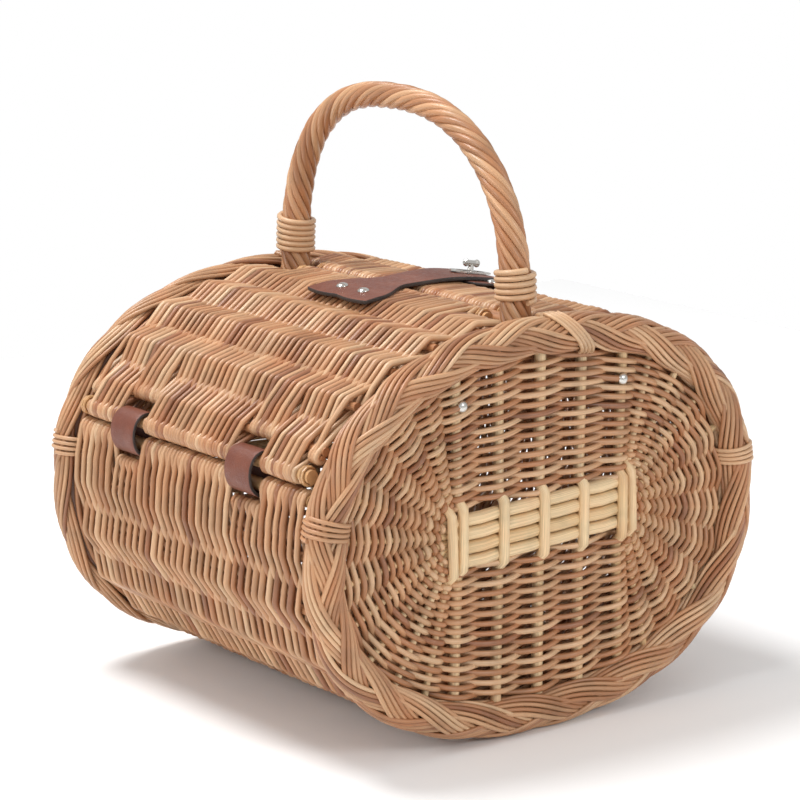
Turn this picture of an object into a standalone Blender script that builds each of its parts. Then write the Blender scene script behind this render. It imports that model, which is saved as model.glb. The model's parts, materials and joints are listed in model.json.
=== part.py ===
"""Barrel-shaped wicker picnic basket with two lids, a twisted handle and a leather turn-lock strap.

Metres, +Z up. X runs along the barrel, Y across it, and the origin is on the ground under its middle.
"""
import math

import bmesh
import bpy
from mathutils import Matrix, Vector

# Overall sizes
LENGTH = 0.356
WIDTH = 0.414
BODY_HEIGHT = 0.306
OVAL_POWER = 2.28
FOOT_FLAT = 0.0012

# Clearances
TOUCH = 0.0003
PANEL_FIT = 0.0006
ROD_FIT = 0.0004
LID_END_CLEARANCE = 0.0012
ROLL_CLEARANCE = 0.0012
RING_SIDE_CLEARANCE = 0.0015
MEETING_GAP = 0.004
HANDLE_CLEARANCE = 0.0025

# Plaited borders
BORDER_DEPTH = 0.032
BORDER_BAND = 0.030
BORDER_LOBES = 4
BORDER_LAYS = 28
BORDER_LOBE_DEPTH = 0.0018
BORDER_ROWS = 84

# Woven walls
WALL = 0.011
RIB_DEPTH = 0.0016
BODY_INSET = 0.007
BODY_STAKES = 16
LID_INSET = 0.001
LID_STAKES = 8
POINTS_PER_STAKE = 4

# Edge rods of the lids and the trough
ROD_R = 0.005
ROLL_R = 0.008
HINGE_DROP = 0.093
ROD_SIDES = 16

# End panels
PANEL_THICK = 0.012
PANEL_RECESS = 0.012
PANEL_POINTS = 72
SLATH_LENGTH = 0.168
SLATH_ROD_R = 0.0052
SLATH_RODS = 4
SLATH_THICK = 0.003
SLATH_STICKS = 5
SLATH_STICK_PITCH = 0.0375
SLATH_STICK_R = 0.0055
SLATH_LIFT = 0.0026
SLATH_TILT = math.radians(2.5)
STUD_R = 0.0045
STUD_HEIGHT = 0.0022
STUD_SPACING = 0.150
STUD_DROP = 0.0555

# Handle
HANDLE_RISE = 0.149
HANDLE_LEG_R = 0.0115
HANDLE_TOP_R = 0.0098
HANDLE_BOW_POWER = 2.4
HANDLE_TAIL_DROP = 0.091
HANDLE_TAIL_R = 0.008
HANDLE_RODS = 6
HANDLE_GROOVE = 0.0014
HANDLE_LAY = math.radians(35)
HANDLE_ROWS = 72

# Windings
FOOT_SKEIN_R = 0.0020
FOOT_LOOPS = 5
FOOT_LOOP_PITCH = 0.0050
FOOT_LOOP_GAP = 0.0005
TIE_R = 0.0016
TIE_LOOPS = 3
TIE_PITCH = 0.0040
FOOT_TIE_OFFSET = 0.024
BINDING_R = 0.0011
BINDING_LOOPS = 2
BINDING_PITCH = 0.0028
POINTS_PER_LOOP = 14
BINDING_POINTS = 10
LEAST_SELF_GAP = 0.0004

# Leather hinge rings
RING_WIDTH = 0.030
RING_LEATHER = 0.003
RING_SPACING = 0.148
RING_ARC_STEPS = 8
LID_NOTCH_DEPTH = 0.014

# Lock strap, patch and turn lock
STRAP_THICK = 0.003
STRAP_END_Y = -0.062
STRAP_BEND_Y = -0.030
STRAP_TIP_Y = 0.092
STRAP_STATIONS = 14
STRAP_END_HALF = 0.030
STRAP_WAIST_HALF = 0.0175
STRAP_WAIST_Y = -0.006
STRAP_SHIELD_HALF = 0.024
STRAP_SHIELD_Y = 0.062
STRAP_TIP_HALF = 0.008
STRAP_RIVET_Y = -0.045
STRAP_RIVET_SPACING = 0.026
RIVET_R = 0.0045
RIVET_HEIGHT = 0.0018
PATCH_THICK = 0.002
PATCH_LENGTH = 0.072
PATCH_BAND = 0.040
PATCH_RIVET_SPACING = 0.056
LOCK_Y = 0.066
PLATE_LENGTH = 0.038
PLATE_BAND = 0.020
PLATE_THICK = 0.0012
SLOT_LENGTH = 0.026
SLOT_BAND = 0.009
STRAP_HOLE_MARGIN = 0.001
POST_R = 0.003
BUTTON_BAR_LENGTH = 0.015
BUTTON_BAR_R = 0.0022
BUTTON_BALL_R = 0.0030
BUTTON_STEM_R = 0.0024

# Finishes: linear colour, roughness, metallic
WILLOW = ("willow", (0.42, 0.20, 0.085), 0.55, 0.0)
PALE_WILLOW = ("pale_willow", (0.70, 0.50, 0.26), 0.5, 0.0)
LEATHER = ("leather", (0.10, 0.030, 0.017), 0.45, 0.0)
NICKEL = ("nickel", (0.62, 0.61, 0.58), 0.22, 1.0)

# Places worked out from the sizes
HALF_LENGTH = LENGTH / 2
OVAL_CENTRE_Z = (BODY_HEIGHT - FOOT_FLAT) / 2
OVAL_HALF_W = WIDTH / 2
OVAL_HALF_H = (BODY_HEIGHT + FOOT_FLAT) / 2
BORDER_X = HALF_LENGTH - BORDER_DEPTH / 2
BORDER_INNER_X = HALF_LENGTH - BORDER_DEPTH
LID_HALF = BORDER_INNER_X - LID_END_CLEARANCE
TROUGH_HALF = BORDER_INNER_X - TOUCH
PANEL_OUTER_X = HALF_LENGTH - PANEL_RECESS
PANEL_INNER_X = PANEL_OUTER_X - PANEL_THICK
HINGE_Z = BODY_HEIGHT - HINGE_DROP
RAIL_Z = HINGE_Z - 2 * ROLL_R - ROLL_CLEARANCE
HANDLE_FOOT_X = BORDER_INNER_X - TOUCH - HANDLE_LEG_R
FOOT_LOOP_R = HANDLE_LEG_R + TOUCH + FOOT_SKEIN_R
TIE_GROOVE = 2 * TIE_R + TOUCH
BINDING_SEAT = BINDING_LOOPS * BINDING_PITCH + 4 * BINDING_R
CORNER_HALF_Y = FOOT_LOOP_R + FOOT_SKEIN_R + HANDLE_CLEARANCE
CORNER_X = HANDLE_FOOT_X - CORNER_HALF_Y - BINDING_SEAT
SLATH_CENTRE_Z = OVAL_CENTRE_Z + SLATH_LIFT
STUD_Z = BODY_HEIGHT - STUD_DROP
FINE_STEPS = 1440
BIG = 1.0


class Track:
    """A smooth route read by its arc length."""

    def __init__(self, point_at, start, stop):
        self.turns = [start + (stop - start) * step / FINE_STEPS for step in range(FINE_STEPS + 1)]
        self.points = [point_at(turn) for turn in self.turns]
        self.marks = [0.0]
        for first, second in zip(self.points, self.points[1:]):
            self.marks.append(self.marks[-1] + (second - first).length)
        self.length = self.marks[-1]

    def step_at(self, arc):
        """Fine step that holds an arc length, and how far along it lies."""
        low = 0
        high = FINE_STEPS
        while high - low > 1:
            middle = (low + high) // 2
            if self.marks[middle] <= arc:
                low = middle
            else:
                high = middle
        return low, (arc - self.marks[low]) / (self.marks[high] - self.marks[low])

    def place(self, arc):
        """Point and unit tangent at an arc length."""
        step, share = self.step_at(arc)
        run = self.points[step + 1] - self.points[step]
        return self.points[step] + run * share, run.normalized()

    def turn_at(self, arc):
        """Turn at an arc length."""
        step, share = self.step_at(arc)
        return self.turns[step] + (self.turns[step + 1] - self.turns[step]) * share

    def spread(self, count):
        """Evenly spaced points from one end to the other."""
        return [self.place(self.length * step / count)[0] for step in range(count + 1)]


def oval_point(turn, inset):
    """Point of the basket's oval, turned from +Y towards +Z and drawn in by inset."""
    across = math.cos(turn)
    up = math.sin(turn)
    power = 2 / OVAL_POWER
    y = (OVAL_HALF_W - inset) * math.copysign(abs(across) ** power, across)
    z = OVAL_CENTRE_Z + (OVAL_HALF_H - inset) * math.copysign(abs(up) ** power, up)
    return Vector((0.0, y, z))


def oval_turn(z, inset):
    """Turn at which the right half of the oval reaches a height."""
    share = (z - OVAL_CENTRE_Z) / (OVAL_HALF_H - inset)
    return math.asin(math.copysign(abs(share) ** (OVAL_POWER / 2), share))


def oval_turn_across(y, inset):
    """Turn at which the top of the oval lies over a distance from the middle."""
    share = y / (OVAL_HALF_W - inset)
    return math.acos(math.copysign(abs(share) ** (OVAL_POWER / 2), share))


def lid_point(y, lift):
    """Point that stands lift over the lids' outer face."""
    inset = LID_INSET - lift
    point = oval_point(oval_turn_across(y, inset), inset)
    return Vector((0.0, y, point.z))


def finish(kind):
    """Material of one finish, made once."""
    name, colour, roughness, metallic = kind
    made = bpy.data.materials.get(name)
    if made is None:
        made = bpy.data.materials.new(name)
        made.use_nodes = True
        shader = made.node_tree.nodes["Principled BSDF"]
        shader.inputs["Base Color"].default_value = (*colour, 1.0)
        shader.inputs["Roughness"].default_value = roughness
        shader.inputs["Metallic"].default_value = metallic
    return made


def empty(name, place):
    """Pivot that moving pieces hang on."""
    pivot = bpy.data.objects.new(name, None)
    pivot.location = place
    bpy.context.scene.collection.objects.link(pivot)
    return pivot


def piece(name, mesh, kind, pivot=None):
    """Object of one piece from a bmesh in world places, hung on its pivot."""
    bmesh.ops.recalc_face_normals(mesh, faces=mesh.faces)
    data = bpy.data.meshes.new(name)
    mesh.to_mesh(data)
    mesh.free()
    made = bpy.data.objects.new(name, data)
    data.materials.append(finish(kind))
    bpy.context.scene.collection.objects.link(made)
    if pivot is not None:
        made.parent = pivot
        made.location = -pivot.location
    return made


def cutter(name, mesh):
    """Guide object that only shapes other pieces."""
    made = piece(name, mesh, WILLOW)
    made.hide_render = True
    made.display_type = "WIRE"
    return made


def combine(target, tool, operation):
    """Boolean of a guide on a piece."""
    modifier = target.modifiers.new(tool.name, "BOOLEAN")
    modifier.operation = operation
    modifier.object = tool


def add_prism(mesh, outline, x_low, x_high):
    """Closed outline in the YZ plane, drawn out along X."""
    face = mesh.faces.new([mesh.verts.new((x_low, point.y, point.z)) for point in outline])
    drawn = bmesh.ops.extrude_face_region(mesh, geom=[face])
    moved = [item for item in drawn["geom"] if isinstance(item, bmesh.types.BMVert)]
    bmesh.ops.translate(mesh, verts=moved, vec=(x_high - x_low, 0.0, 0.0))


def add_rod(mesh, y, z, x_low, x_high, radius):
    """Straight rod along X."""
    place = Matrix.Translation(((x_low + x_high) / 2, y, z)) @ Matrix.Rotation(math.pi / 2, 4, "Y")
    bmesh.ops.create_cone(
        mesh, cap_ends=True, segments=ROD_SIDES, radius1=radius, radius2=radius,
        depth=x_high - x_low, matrix=place)


def add_block(mesh, low, high):
    """Block between two corners."""
    middle = (Vector(low) + Vector(high)) / 2
    size = Vector(high) - Vector(low)
    place = Matrix.Translation(middle) @ Matrix.Diagonal((*size, 1.0))
    bmesh.ops.create_cube(mesh, size=1.0, matrix=place)


def add_band(mesh, outer, inner, drawn_by):
    """Ring between two loops with as many points, drawn out by a vector."""
    outer_verts = [mesh.verts.new(point) for point in outer]
    inner_verts = [mesh.verts.new(point) for point in inner]
    faces = []
    for index in range(len(outer)):
        after = (index + 1) % len(outer)
        faces.append(mesh.faces.new(
            (outer_verts[index], outer_verts[after], inner_verts[after], inner_verts[index])))
    drawn = bmesh.ops.extrude_face_region(mesh, geom=faces)
    moved = [item for item in drawn["geom"] if isinstance(item, bmesh.types.BMVert)]
    bmesh.ops.translate(mesh, verts=moved, vec=drawn_by)


def add_sweep(mesh, rows, closed):
    """Skin through rows of points, capped at its ends or closed on itself."""
    rings = [[mesh.verts.new(point) for point in row] for row in rows]
    spans = len(rings) if closed else len(rings) - 1
    count = len(rings[0])
    for index in range(spans):
        low = rings[index]
        high = rings[(index + 1) % len(rings)]
        for side in range(count):
            after = (side + 1) % count
            mesh.faces.new((low[side], low[after], high[after], high[side]))
    if not closed:
        mesh.faces.new(rings[0])
        mesh.faces.new(rings[-1])


def least_gap(points, radius, neighbours):
    """Least clear distance between turns of one tube, measured on its points."""
    least = BIG
    for index, point in enumerate(points):
        for other in points[index + neighbours:]:
            least = min(least, (other - point).length - 2 * radius)
    return least


def winding(name, points, radius, kind, pivot=None):
    """One unbroken round strand through points, with closed ends and no turn touching the next."""
    gap = least_gap(points, radius, BINDING_POINTS // 2)
    print(f"{name}: least gap to itself {gap * 1000:.2f} mm")
    if gap < LEAST_SELF_GAP:
        raise ValueError(f"{name} touches itself")
    curve = bpy.data.curves.new(name, "CURVE")
    curve.dimensions = "3D"
    curve.bevel_depth = radius
    curve.bevel_resolution = 1
    curve.use_fill_caps = True
    spline = curve.splines.new("POLY")
    spline.points.add(len(points) - 1)
    for slot, point in zip(spline.points, points):
        slot.co = (*point, 1.0)
    made = bpy.data.objects.new(name, curve)
    curve.materials.append(finish(kind))
    bpy.context.scene.collection.objects.link(made)
    if pivot is not None:
        made.parent = pivot
        made.location = -pivot.location
    return made


def ribbed_arc(start, stop, inset, stakes):
    """Points along the oval that swell over each stake and dip between them."""
    plain = Track(lambda turn: oval_point(turn, inset), start, stop)
    count = stakes * POINTS_PER_STAKE
    points = []
    for step in range(count + 1):
        share = step / count
        dip = RIB_DEPTH * (0.5 + 0.5 * math.cos(2 * math.pi * stakes * share))
        points.append(oval_point(plain.turn_at(plain.length * share), inset + dip))
    return points


def shell_outline(start, stop, inset, stakes):
    """Closed section of a woven wall: ribbed outside and plain inside."""
    outer = ribbed_arc(start, stop, inset, stakes)
    inner = Track(lambda turn: oval_point(turn, inset + WALL), stop, start)
    return outer + inner.spread(stakes * POINTS_PER_STAKE // 2)


def hinge_rod_place(side):
    """Centre of a lid's hinge rod, which is the lid's axis."""
    inset = LID_INSET + WALL / 2
    point = oval_point(oval_turn(HINGE_Z, inset), inset)
    return Vector((0.0, side * point.y, HINGE_Z))


def rail_place(side):
    """Centre of a rail rod in the trough's top edge."""
    inset = BODY_INSET + WALL / 2
    point = oval_point(oval_turn(RAIL_Z, inset), inset)
    return Vector((0.0, side * point.y, RAIL_Z))


def meeting_rod_place(side):
    """Centre of a lid's meeting rod, set so that its roll lies flush with the lid's top."""
    y = MEETING_GAP / 2 + ROLL_R
    inset = LID_INSET + ROLL_R
    return Vector((0.0, side * y, oval_point(oval_turn_across(y, inset), inset).z))


BORDER_TRACK = Track(lambda turn: oval_point(turn, BORDER_BAND / 2), -math.pi / 2, 3 * math.pi / 2)
TIE_HALF = TIE_LOOPS * TIE_PITCH / 2 + TIE_R + TOUCH
GROOVE_SHOULDER = 0.0015


def outward(tangent):
    """Direction out of the oval, square to its tangent."""
    return Vector((0.0, tangent.z, -tangent.y))


def border_arcs():
    """Arc lengths of the bindings: right, handle foot and left, from the lowest point."""
    foot = BORDER_TRACK.length / 2 - FOOT_TIE_OFFSET
    return (BORDER_TRACK.length / 4, foot, BORDER_TRACK.length * 3 / 4)


def border_rows():
    """Arc length and section size of each row of a border, waisted under its bindings."""
    rows = []
    reach = TIE_HALF + GROOVE_SHOULDER
    spacing = BORDER_TRACK.length / BORDER_ROWS
    for step in range(BORDER_ROWS):
        arc = spacing * step
        if all(abs(arc - tie) > reach + spacing / 4 for tie in border_arcs()):
            rows.append((arc, 0.0))
    for tie in border_arcs():
        rows += [(tie - reach, 0.0), (tie + reach, 0.0)]
        rows += [(tie - TIE_HALF, TIE_GROOVE), (tie, TIE_GROOVE), (tie + TIE_HALF, TIE_GROOVE)]
    return sorted(rows)


def border_row(x, arc, draw_in):
    """Points of one section of the plait, turned by its lay."""
    centre, tangent = BORDER_TRACK.place(arc)
    normal = outward(tangent)
    turned = 2 * math.pi * BORDER_LAYS / BORDER_LOBES * arc / BORDER_TRACK.length
    points = []
    for corner in range(2 * BORDER_LOBES):
        angle = turned + math.pi * corner / BORDER_LOBES
        dip = draw_in + (BORDER_LOBE_DEPTH if corner % 2 else 0.0)
        along = (BORDER_DEPTH / 2 - dip) * math.sin(angle)
        out = (BORDER_BAND / 2 - dip) * math.cos(angle)
        points.append(centre + normal * out + Vector((x + along, 0.0, 0.0)))
    return points


def build_border(end, side):
    """Plaited ring of one end, with a flat where it stands, and its three bindings."""
    mesh = bmesh.new()
    add_sweep(mesh, [border_row(side * BORDER_X, *row) for row in border_rows()], True)
    bmesh.ops.recalc_face_normals(mesh, faces=mesh.faces)
    everything = mesh.verts[:] + mesh.edges[:] + mesh.faces[:]
    cut = bmesh.ops.bisect_plane(
        mesh, geom=everything, plane_co=(0.0, 0.0, 0.0), plane_no=(0.0, 0.0, -1.0), clear_outer=True)
    edges = [item for item in cut["geom_cut"] if isinstance(item, bmesh.types.BMEdge)]
    bmesh.ops.holes_fill(mesh, edges=edges)
    piece(f"{end}_border", mesh, WILLOW)
    for place, arc in zip(("back_tie", "foot_tie", "front_tie"), border_arcs()):
        points = []
        for step in range(TIE_LOOPS * POINTS_PER_LOOP + 1):
            turns = step / POINTS_PER_LOOP
            centre, tangent = BORDER_TRACK.place(arc + TIE_PITCH * (turns - TIE_LOOPS / 2))
            angle = 2 * math.pi * turns
            out = (BORDER_BAND / 2 - TIE_R) * math.cos(angle)
            along = (BORDER_DEPTH / 2 - TIE_R) * math.sin(angle)
            points.append(centre + outward(tangent) * out + Vector((side * (BORDER_X + along), 0.0, 0.0)))
        winding(f"{end}_border_{place}", points, TIE_R, WILLOW)


def build_end_panel(end, side):
    """Woven oval end inside its border."""
    outline = []
    for step in range(PANEL_POINTS):
        centre, tangent = BORDER_TRACK.place(BORDER_TRACK.length * step / PANEL_POINTS)
        outline.append(centre - outward(tangent) * (BORDER_BAND / 2 + PANEL_FIT))
    mesh = bmesh.new()
    add_prism(mesh, outline, side * PANEL_INNER_X, side * PANEL_OUTER_X)
    piece(f"{end}_end_panel", mesh, WILLOW)


def build_slath(end, side):
    """Pale crossed sticks in the middle of an end panel."""
    mesh = bmesh.new()
    rise = SLATH_RODS * SLATH_ROD_R
    face_x = PANEL_OUTER_X + TOUCH
    outline = [Vector((face_x, 0.0, rise)), Vector((face_x, 0.0, -rise))]
    arc_steps = 4
    for rod in range(SLATH_RODS):
        middle = (2 * rod + 1) * SLATH_ROD_R - rise
        for step in range(arc_steps):
            angle = math.pi * step / arc_steps
            outline.append(Vector((
                face_x + SLATH_THICK + SLATH_ROD_R / 2 * math.sin(angle), 0.0,
                middle - SLATH_ROD_R * math.cos(angle))))
    outline.append(Vector((face_x + SLATH_THICK, 0.0, rise)))
    face = mesh.faces.new([mesh.verts.new(point) for point in outline])
    drawn = bmesh.ops.extrude_face_region(mesh, geom=[face])
    moved = [item for item in drawn["geom"] if isinstance(item, bmesh.types.BMVert)]
    bmesh.ops.translate(mesh, verts=mesh.verts, vec=(0.0, -SLATH_LENGTH / 2, 0.0))
    bmesh.ops.translate(mesh, verts=moved, vec=(0.0, SLATH_LENGTH, 0.0))
    sticks = bmesh.new()
    for stick in range(SLATH_STICKS):
        y = (stick - (SLATH_STICKS - 1) / 2) * SLATH_STICK_PITCH
        place = Matrix.Translation((face_x + SLATH_THICK, y, 0.0))
        bmesh.ops.create_cone(
            sticks, cap_ends=True, segments=ROD_SIDES // 2, radius1=SLATH_STICK_R, radius2=SLATH_STICK_R,
            depth=2 * rise + 2 * SLATH_STICK_R, matrix=place)
    everything = sticks.verts[:] + sticks.edges[:] + sticks.faces[:]
    cut = bmesh.ops.bisect_plane(
        sticks, geom=everything, plane_co=(face_x, 0.0, 0.0), plane_no=(-1.0, 0.0, 0.0), clear_outer=True)
    edges = [item for item in cut["geom_cut"] if isinstance(item, bmesh.types.BMEdge)]
    bmesh.ops.holes_fill(sticks, edges=edges)
    turn = Matrix.Translation((0.0, 0.0, SLATH_CENTRE_Z)) @ Matrix.Rotation(SLATH_TILT, 4, "X")
    if side < 0:
        turn = Matrix.Rotation(math.pi, 4, "Z") @ turn
    for body in (mesh, sticks):
        bmesh.ops.transform(body, matrix=turn, verts=body.verts)
    made = piece(f"{end}_end_slath", mesh, PALE_WILLOW)
    combine(made, cutter(f"{end}_slath_sticks", sticks), "UNION")


def add_dome(mesh, place, normal, radius, height):
    """Low round head that stands on a surface."""
    turn = Vector((0.0, 0.0, 1.0)).rotation_difference(normal).to_matrix().to_4x4()
    rise = Matrix.Translation(place + normal * (TOUCH + height / 2)) @ turn
    bmesh.ops.create_cone(
        mesh, cap_ends=True, segments=12, radius1=radius, radius2=radius * 0.55, depth=height, matrix=rise)


def build_studs(end, side):
    """Two round studs high on an end panel."""
    for name, across in (("front_stud", -1), ("back_stud", 1)):
        mesh = bmesh.new()
        place = Vector((side * PANEL_OUTER_X, across * STUD_SPACING / 2, STUD_Z))
        add_dome(mesh, place, Vector((side, 0.0, 0.0)), STUD_R, STUD_HEIGHT)
        piece(f"{end}_end_{name}", mesh, NICKEL)


def ring_places():
    """Middles of the two hinge rings along X."""
    return (-RING_SPACING / 2, RING_SPACING / 2)


def build_trough():
    """Woven shell under both lids, with rails in its top edges and notches for the hinge rings."""
    start = oval_turn(RAIL_Z, BODY_INSET + WALL / 2)
    outline = shell_outline(start, -math.pi - start, BODY_INSET, BODY_STAKES)
    mesh = bmesh.new()
    add_prism(mesh, outline, -TROUGH_HALF, TROUGH_HALF)
    shell = piece("body_shell", mesh, WILLOW)
    rolls = bmesh.new()
    bores = bmesh.new()
    notches = bmesh.new()
    half = RING_WIDTH / 2 + RING_SIDE_CLEARANCE
    reach = ROD_R + ROD_FIT + RING_LEATHER + RING_SIDE_CLEARANCE
    for name, side in (("front", -1), ("back", 1)):
        centre = rail_place(side)
        add_rod(rolls, centre.y, centre.z, -TROUGH_HALF, TROUGH_HALF, ROLL_R)
        add_rod(bores, centre.y, centre.z, -BIG, BIG, ROD_R + ROD_FIT)
        for x in ring_places():
            low = (x - half, centre.y - 2 * WALL, centre.z - reach)
            high = (x + half, centre.y + 2 * WALL, centre.z + 2 * ROLL_R)
            add_block(notches, low, high)
        rod = bmesh.new()
        add_rod(rod, centre.y, centre.z, -TROUGH_HALF, TROUGH_HALF, ROD_R)
        piece(f"{name}_rail_rod", rod, PALE_WILLOW)
    combine(shell, cutter("trough_rolls", rolls), "UNION")
    combine(shell, cutter("trough_bores", bores), "DIFFERENCE")
    combine(shell, cutter("trough_notches", notches), "DIFFERENCE")


def binding_points(centre, x_inner, side):
    """Loops of a skein round a rod's end."""
    points = []
    radius = ROD_R + TOUCH + BINDING_R
    for step in range(BINDING_LOOPS * BINDING_POINTS + 1):
        turns = step / BINDING_POINTS
        angle = 2 * math.pi * turns
        x = x_inner + 2 * BINDING_R + BINDING_PITCH * turns
        points.append(Vector((
            side * x, centre.y + radius * math.cos(angle), centre.z + radius * math.sin(angle))))
    return points


def build_lid(name, side, pivot):
    """One curved lid on its hinge rod, with its meeting rod and bound rod ends."""
    hinge = hinge_rod_place(side)
    meeting = meeting_rod_place(side)
    start = oval_turn(HINGE_Z, LID_INSET + WALL / 2)
    stop = oval_turn_across(abs(meeting.y), LID_INSET)
    outline = shell_outline(start, stop, LID_INSET, LID_STAKES)
    outline = [Vector((0.0, side * point.y, point.z)) for point in outline]
    mesh = bmesh.new()
    add_prism(mesh, outline, -LID_HALF, LID_HALF)
    panel = piece(f"{name}_lid_panel", mesh, WILLOW, pivot)
    rolls = bmesh.new()
    bores = bmesh.new()
    notches = bmesh.new()
    for centre in (hinge, meeting):
        add_rod(rolls, centre.y, centre.z, -LID_HALF, LID_HALF, ROLL_R)
        add_rod(bores, centre.y, centre.z, -BIG, BIG, ROD_R + ROD_FIT)
    half = RING_WIDTH / 2 + RING_SIDE_CLEARANCE
    seat = LID_HALF - BINDING_SEAT
    reach = ROD_R + 2 * TOUCH + 2 * BINDING_R + ROLL_CLEARANCE
    for x in ring_places():
        low = (x - half, hinge.y - 2 * WALL, hinge.z - 2 * ROLL_R)
        high = (x + half, hinge.y + 2 * WALL, hinge.z + LID_NOTCH_DEPTH)
        add_block(notches, low, high)
    for end in (-1, 1):
        span = sorted((end * seat, end * BIG))
        low = (span[0], hinge.y - 2 * WALL, hinge.z - 2 * ROLL_R)
        high = (span[1], hinge.y + 2 * WALL, hinge.z + reach)
        add_block(notches, low, high)
        span = sorted((end * CORNER_X, end * BIG))
        across = sorted((-side * CORNER_HALF_Y, side * CORNER_HALF_Y))
        add_block(notches, (span[0], across[0], HINGE_Z + WALL), (span[1], across[1], BIG))
    combine(panel, cutter(f"{name}_lid_rolls", rolls), "UNION")
    combine(panel, cutter(f"{name}_lid_bores", bores), "DIFFERENCE")
    combine(panel, cutter(f"{name}_lid_notches", notches), "DIFFERENCE")
    for place, centre, inner in (("hinge", hinge, seat), ("meeting", meeting, CORNER_X)):
        rod = bmesh.new()
        add_rod(rod, centre.y, centre.z, -inner - BINDING_SEAT, inner + BINDING_SEAT, ROD_R)
        piece(f"{name}_lid_{place}_rod", rod, PALE_WILLOW, pivot)
        for end, end_side in (("left", -1), ("right", 1)):
            points = binding_points(centre, inner, end_side)
            winding(f"{name}_lid_{place}_{end}_binding", points, BINDING_R, PALE_WILLOW, pivot)


def stadium(first, second, radius):
    """Loop round two centres in the YZ plane."""
    run = (second - first).normalized()
    heading = math.atan2(run.z, run.y)
    points = []
    for centre, start in ((second, heading - math.pi / 2), (first, heading + math.pi / 2)):
        for step in range(RING_ARC_STEPS + 1):
            angle = start + math.pi * step / RING_ARC_STEPS
            points.append(centre + Vector((0.0, math.cos(angle), math.sin(angle))) * radius)
    return points


def build_hinge_rings(name, side):
    """Leather loops round a lid's hinge rod and the trough's rail."""
    inner_r = ROD_R + ROD_FIT
    inner = stadium(hinge_rod_place(side), rail_place(side), inner_r)
    outer = stadium(hinge_rod_place(side), rail_place(side), inner_r + RING_LEATHER)
    for end, x in zip(("left", "right"), ring_places()):
        start = Vector((x - RING_WIDTH / 2, 0.0, 0.0))
        mesh = bmesh.new()
        add_band(mesh, [start + p for p in outer], [start + p for p in inner], (RING_WIDTH, 0.0, 0.0))
        piece(f"{name}_{end}_hinge_ring", mesh, LEATHER)


def handle_point(turn):
    """Middle line of the bow, from the left foot over to the right."""
    across = -math.cos(turn)
    up = math.sin(turn)
    power = 2 / HANDLE_BOW_POWER
    rise = HANDLE_RISE - HANDLE_TOP_R
    x = HANDLE_FOOT_X * math.copysign(abs(across) ** power, across)
    return Vector((x, 0.0, BODY_HEIGHT + rise * abs(up) ** power))


BOW_TRACK = Track(handle_point, 0.0, math.pi)


def handle_row(centre, tangent, radius, turned):
    """Points of one section across the twisted rods."""
    normal = Vector((-tangent.z, 0.0, tangent.x))
    points = []
    for corner in range(2 * HANDLE_RODS):
        angle = turned + math.pi * corner / HANDLE_RODS
        size = radius - (HANDLE_GROOVE if corner % 2 else 0.0)
        points.append(centre + normal * size * math.cos(angle) + Vector((0.0, size * math.sin(angle), 0.0)))
    return points


def build_handle():
    """Twisted rod handle whose tails run down inside the end panels, and its foot windings."""
    lay = math.tan(HANDLE_LAY) / HANDLE_LEG_R
    tail_z = BODY_HEIGHT - HANDLE_TAIL_DROP
    tail_x = PANEL_INNER_X - TOUCH - HANDLE_TAIL_R
    rows = []
    up = Vector((0.0, 0.0, 1.0))
    under = BORDER_BAND + TOUCH
    for z, x, radius in (
            (tail_z, tail_x, HANDLE_TAIL_R),
            (BODY_HEIGHT - under - HANDLE_LEG_R, (tail_x + HANDLE_FOOT_X) / 2, HANDLE_TAIL_R),
            (BODY_HEIGHT - BORDER_BAND / 2, HANDLE_FOOT_X, HANDLE_LEG_R)):
        rows.append((Vector((-x, 0.0, z)), up, radius, lay * (z - tail_z)))
    for step in range(HANDLE_ROWS + 1):
        arc = BOW_TRACK.length * step / HANDLE_ROWS
        centre, tangent = BOW_TRACK.place(min(arc, BOW_TRACK.length))
        share = math.sin(math.pi * step / HANDLE_ROWS)
        radius = HANDLE_LEG_R + (HANDLE_TOP_R - HANDLE_LEG_R) * share
        rows.append((centre, tangent, radius, lay * (HANDLE_TAIL_DROP + arc)))
    for centre, _, radius, _ in reversed(rows[:3]):
        place = Vector((-centre.x, 0.0, centre.z))
        run = HANDLE_TAIL_DROP + BOW_TRACK.length + BODY_HEIGHT - centre.z
        rows.append((place, -up, radius, lay * run))
    mesh = bmesh.new()
    add_sweep(mesh, [handle_row(*row) for row in rows], False)
    piece("handle", mesh, WILLOW)
    for end, side in (("left", -1), ("right", 1)):
        winding(f"{end}_handle_foot_winding", foot_loops(side), FOOT_SKEIN_R, WILLOW)


def foot_loops(side):
    """Points of a foot's winding, opened where the bow's bend would bring its loops together."""
    points = []
    arc = FOOT_SKEIN_R + TIE_PITCH
    for step in range(FOOT_LOOPS * POINTS_PER_LOOP + 1):
        centre, tangent = BOW_TRACK.place(arc)
        normal = Vector((-tangent.z, 0.0, tangent.x))
        angle = 2 * math.pi * step / POINTS_PER_LOOP
        point = centre + normal * FOOT_LOOP_R * math.cos(angle)
        point.y += FOOT_LOOP_R * math.sin(angle)
        point.x *= -side
        points.append(point)
        before = BOW_TRACK.place(arc - FOOT_SKEIN_R)[1]
        after = BOW_TRACK.place(arc + FOOT_SKEIN_R)[1]
        bend = before.angle(after) / (2 * FOOT_SKEIN_R)
        apart = (2 * FOOT_SKEIN_R + FOOT_LOOP_GAP) / (1 - FOOT_LOOP_R * bend)
        arc += max(FOOT_LOOP_PITCH, apart) / POINTS_PER_LOOP
    return points


def ease(share):
    """Smooth step from 0 to 1."""
    held = min(max(share, 0.0), 1.0)
    return held * held * (3 - 2 * held)


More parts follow.
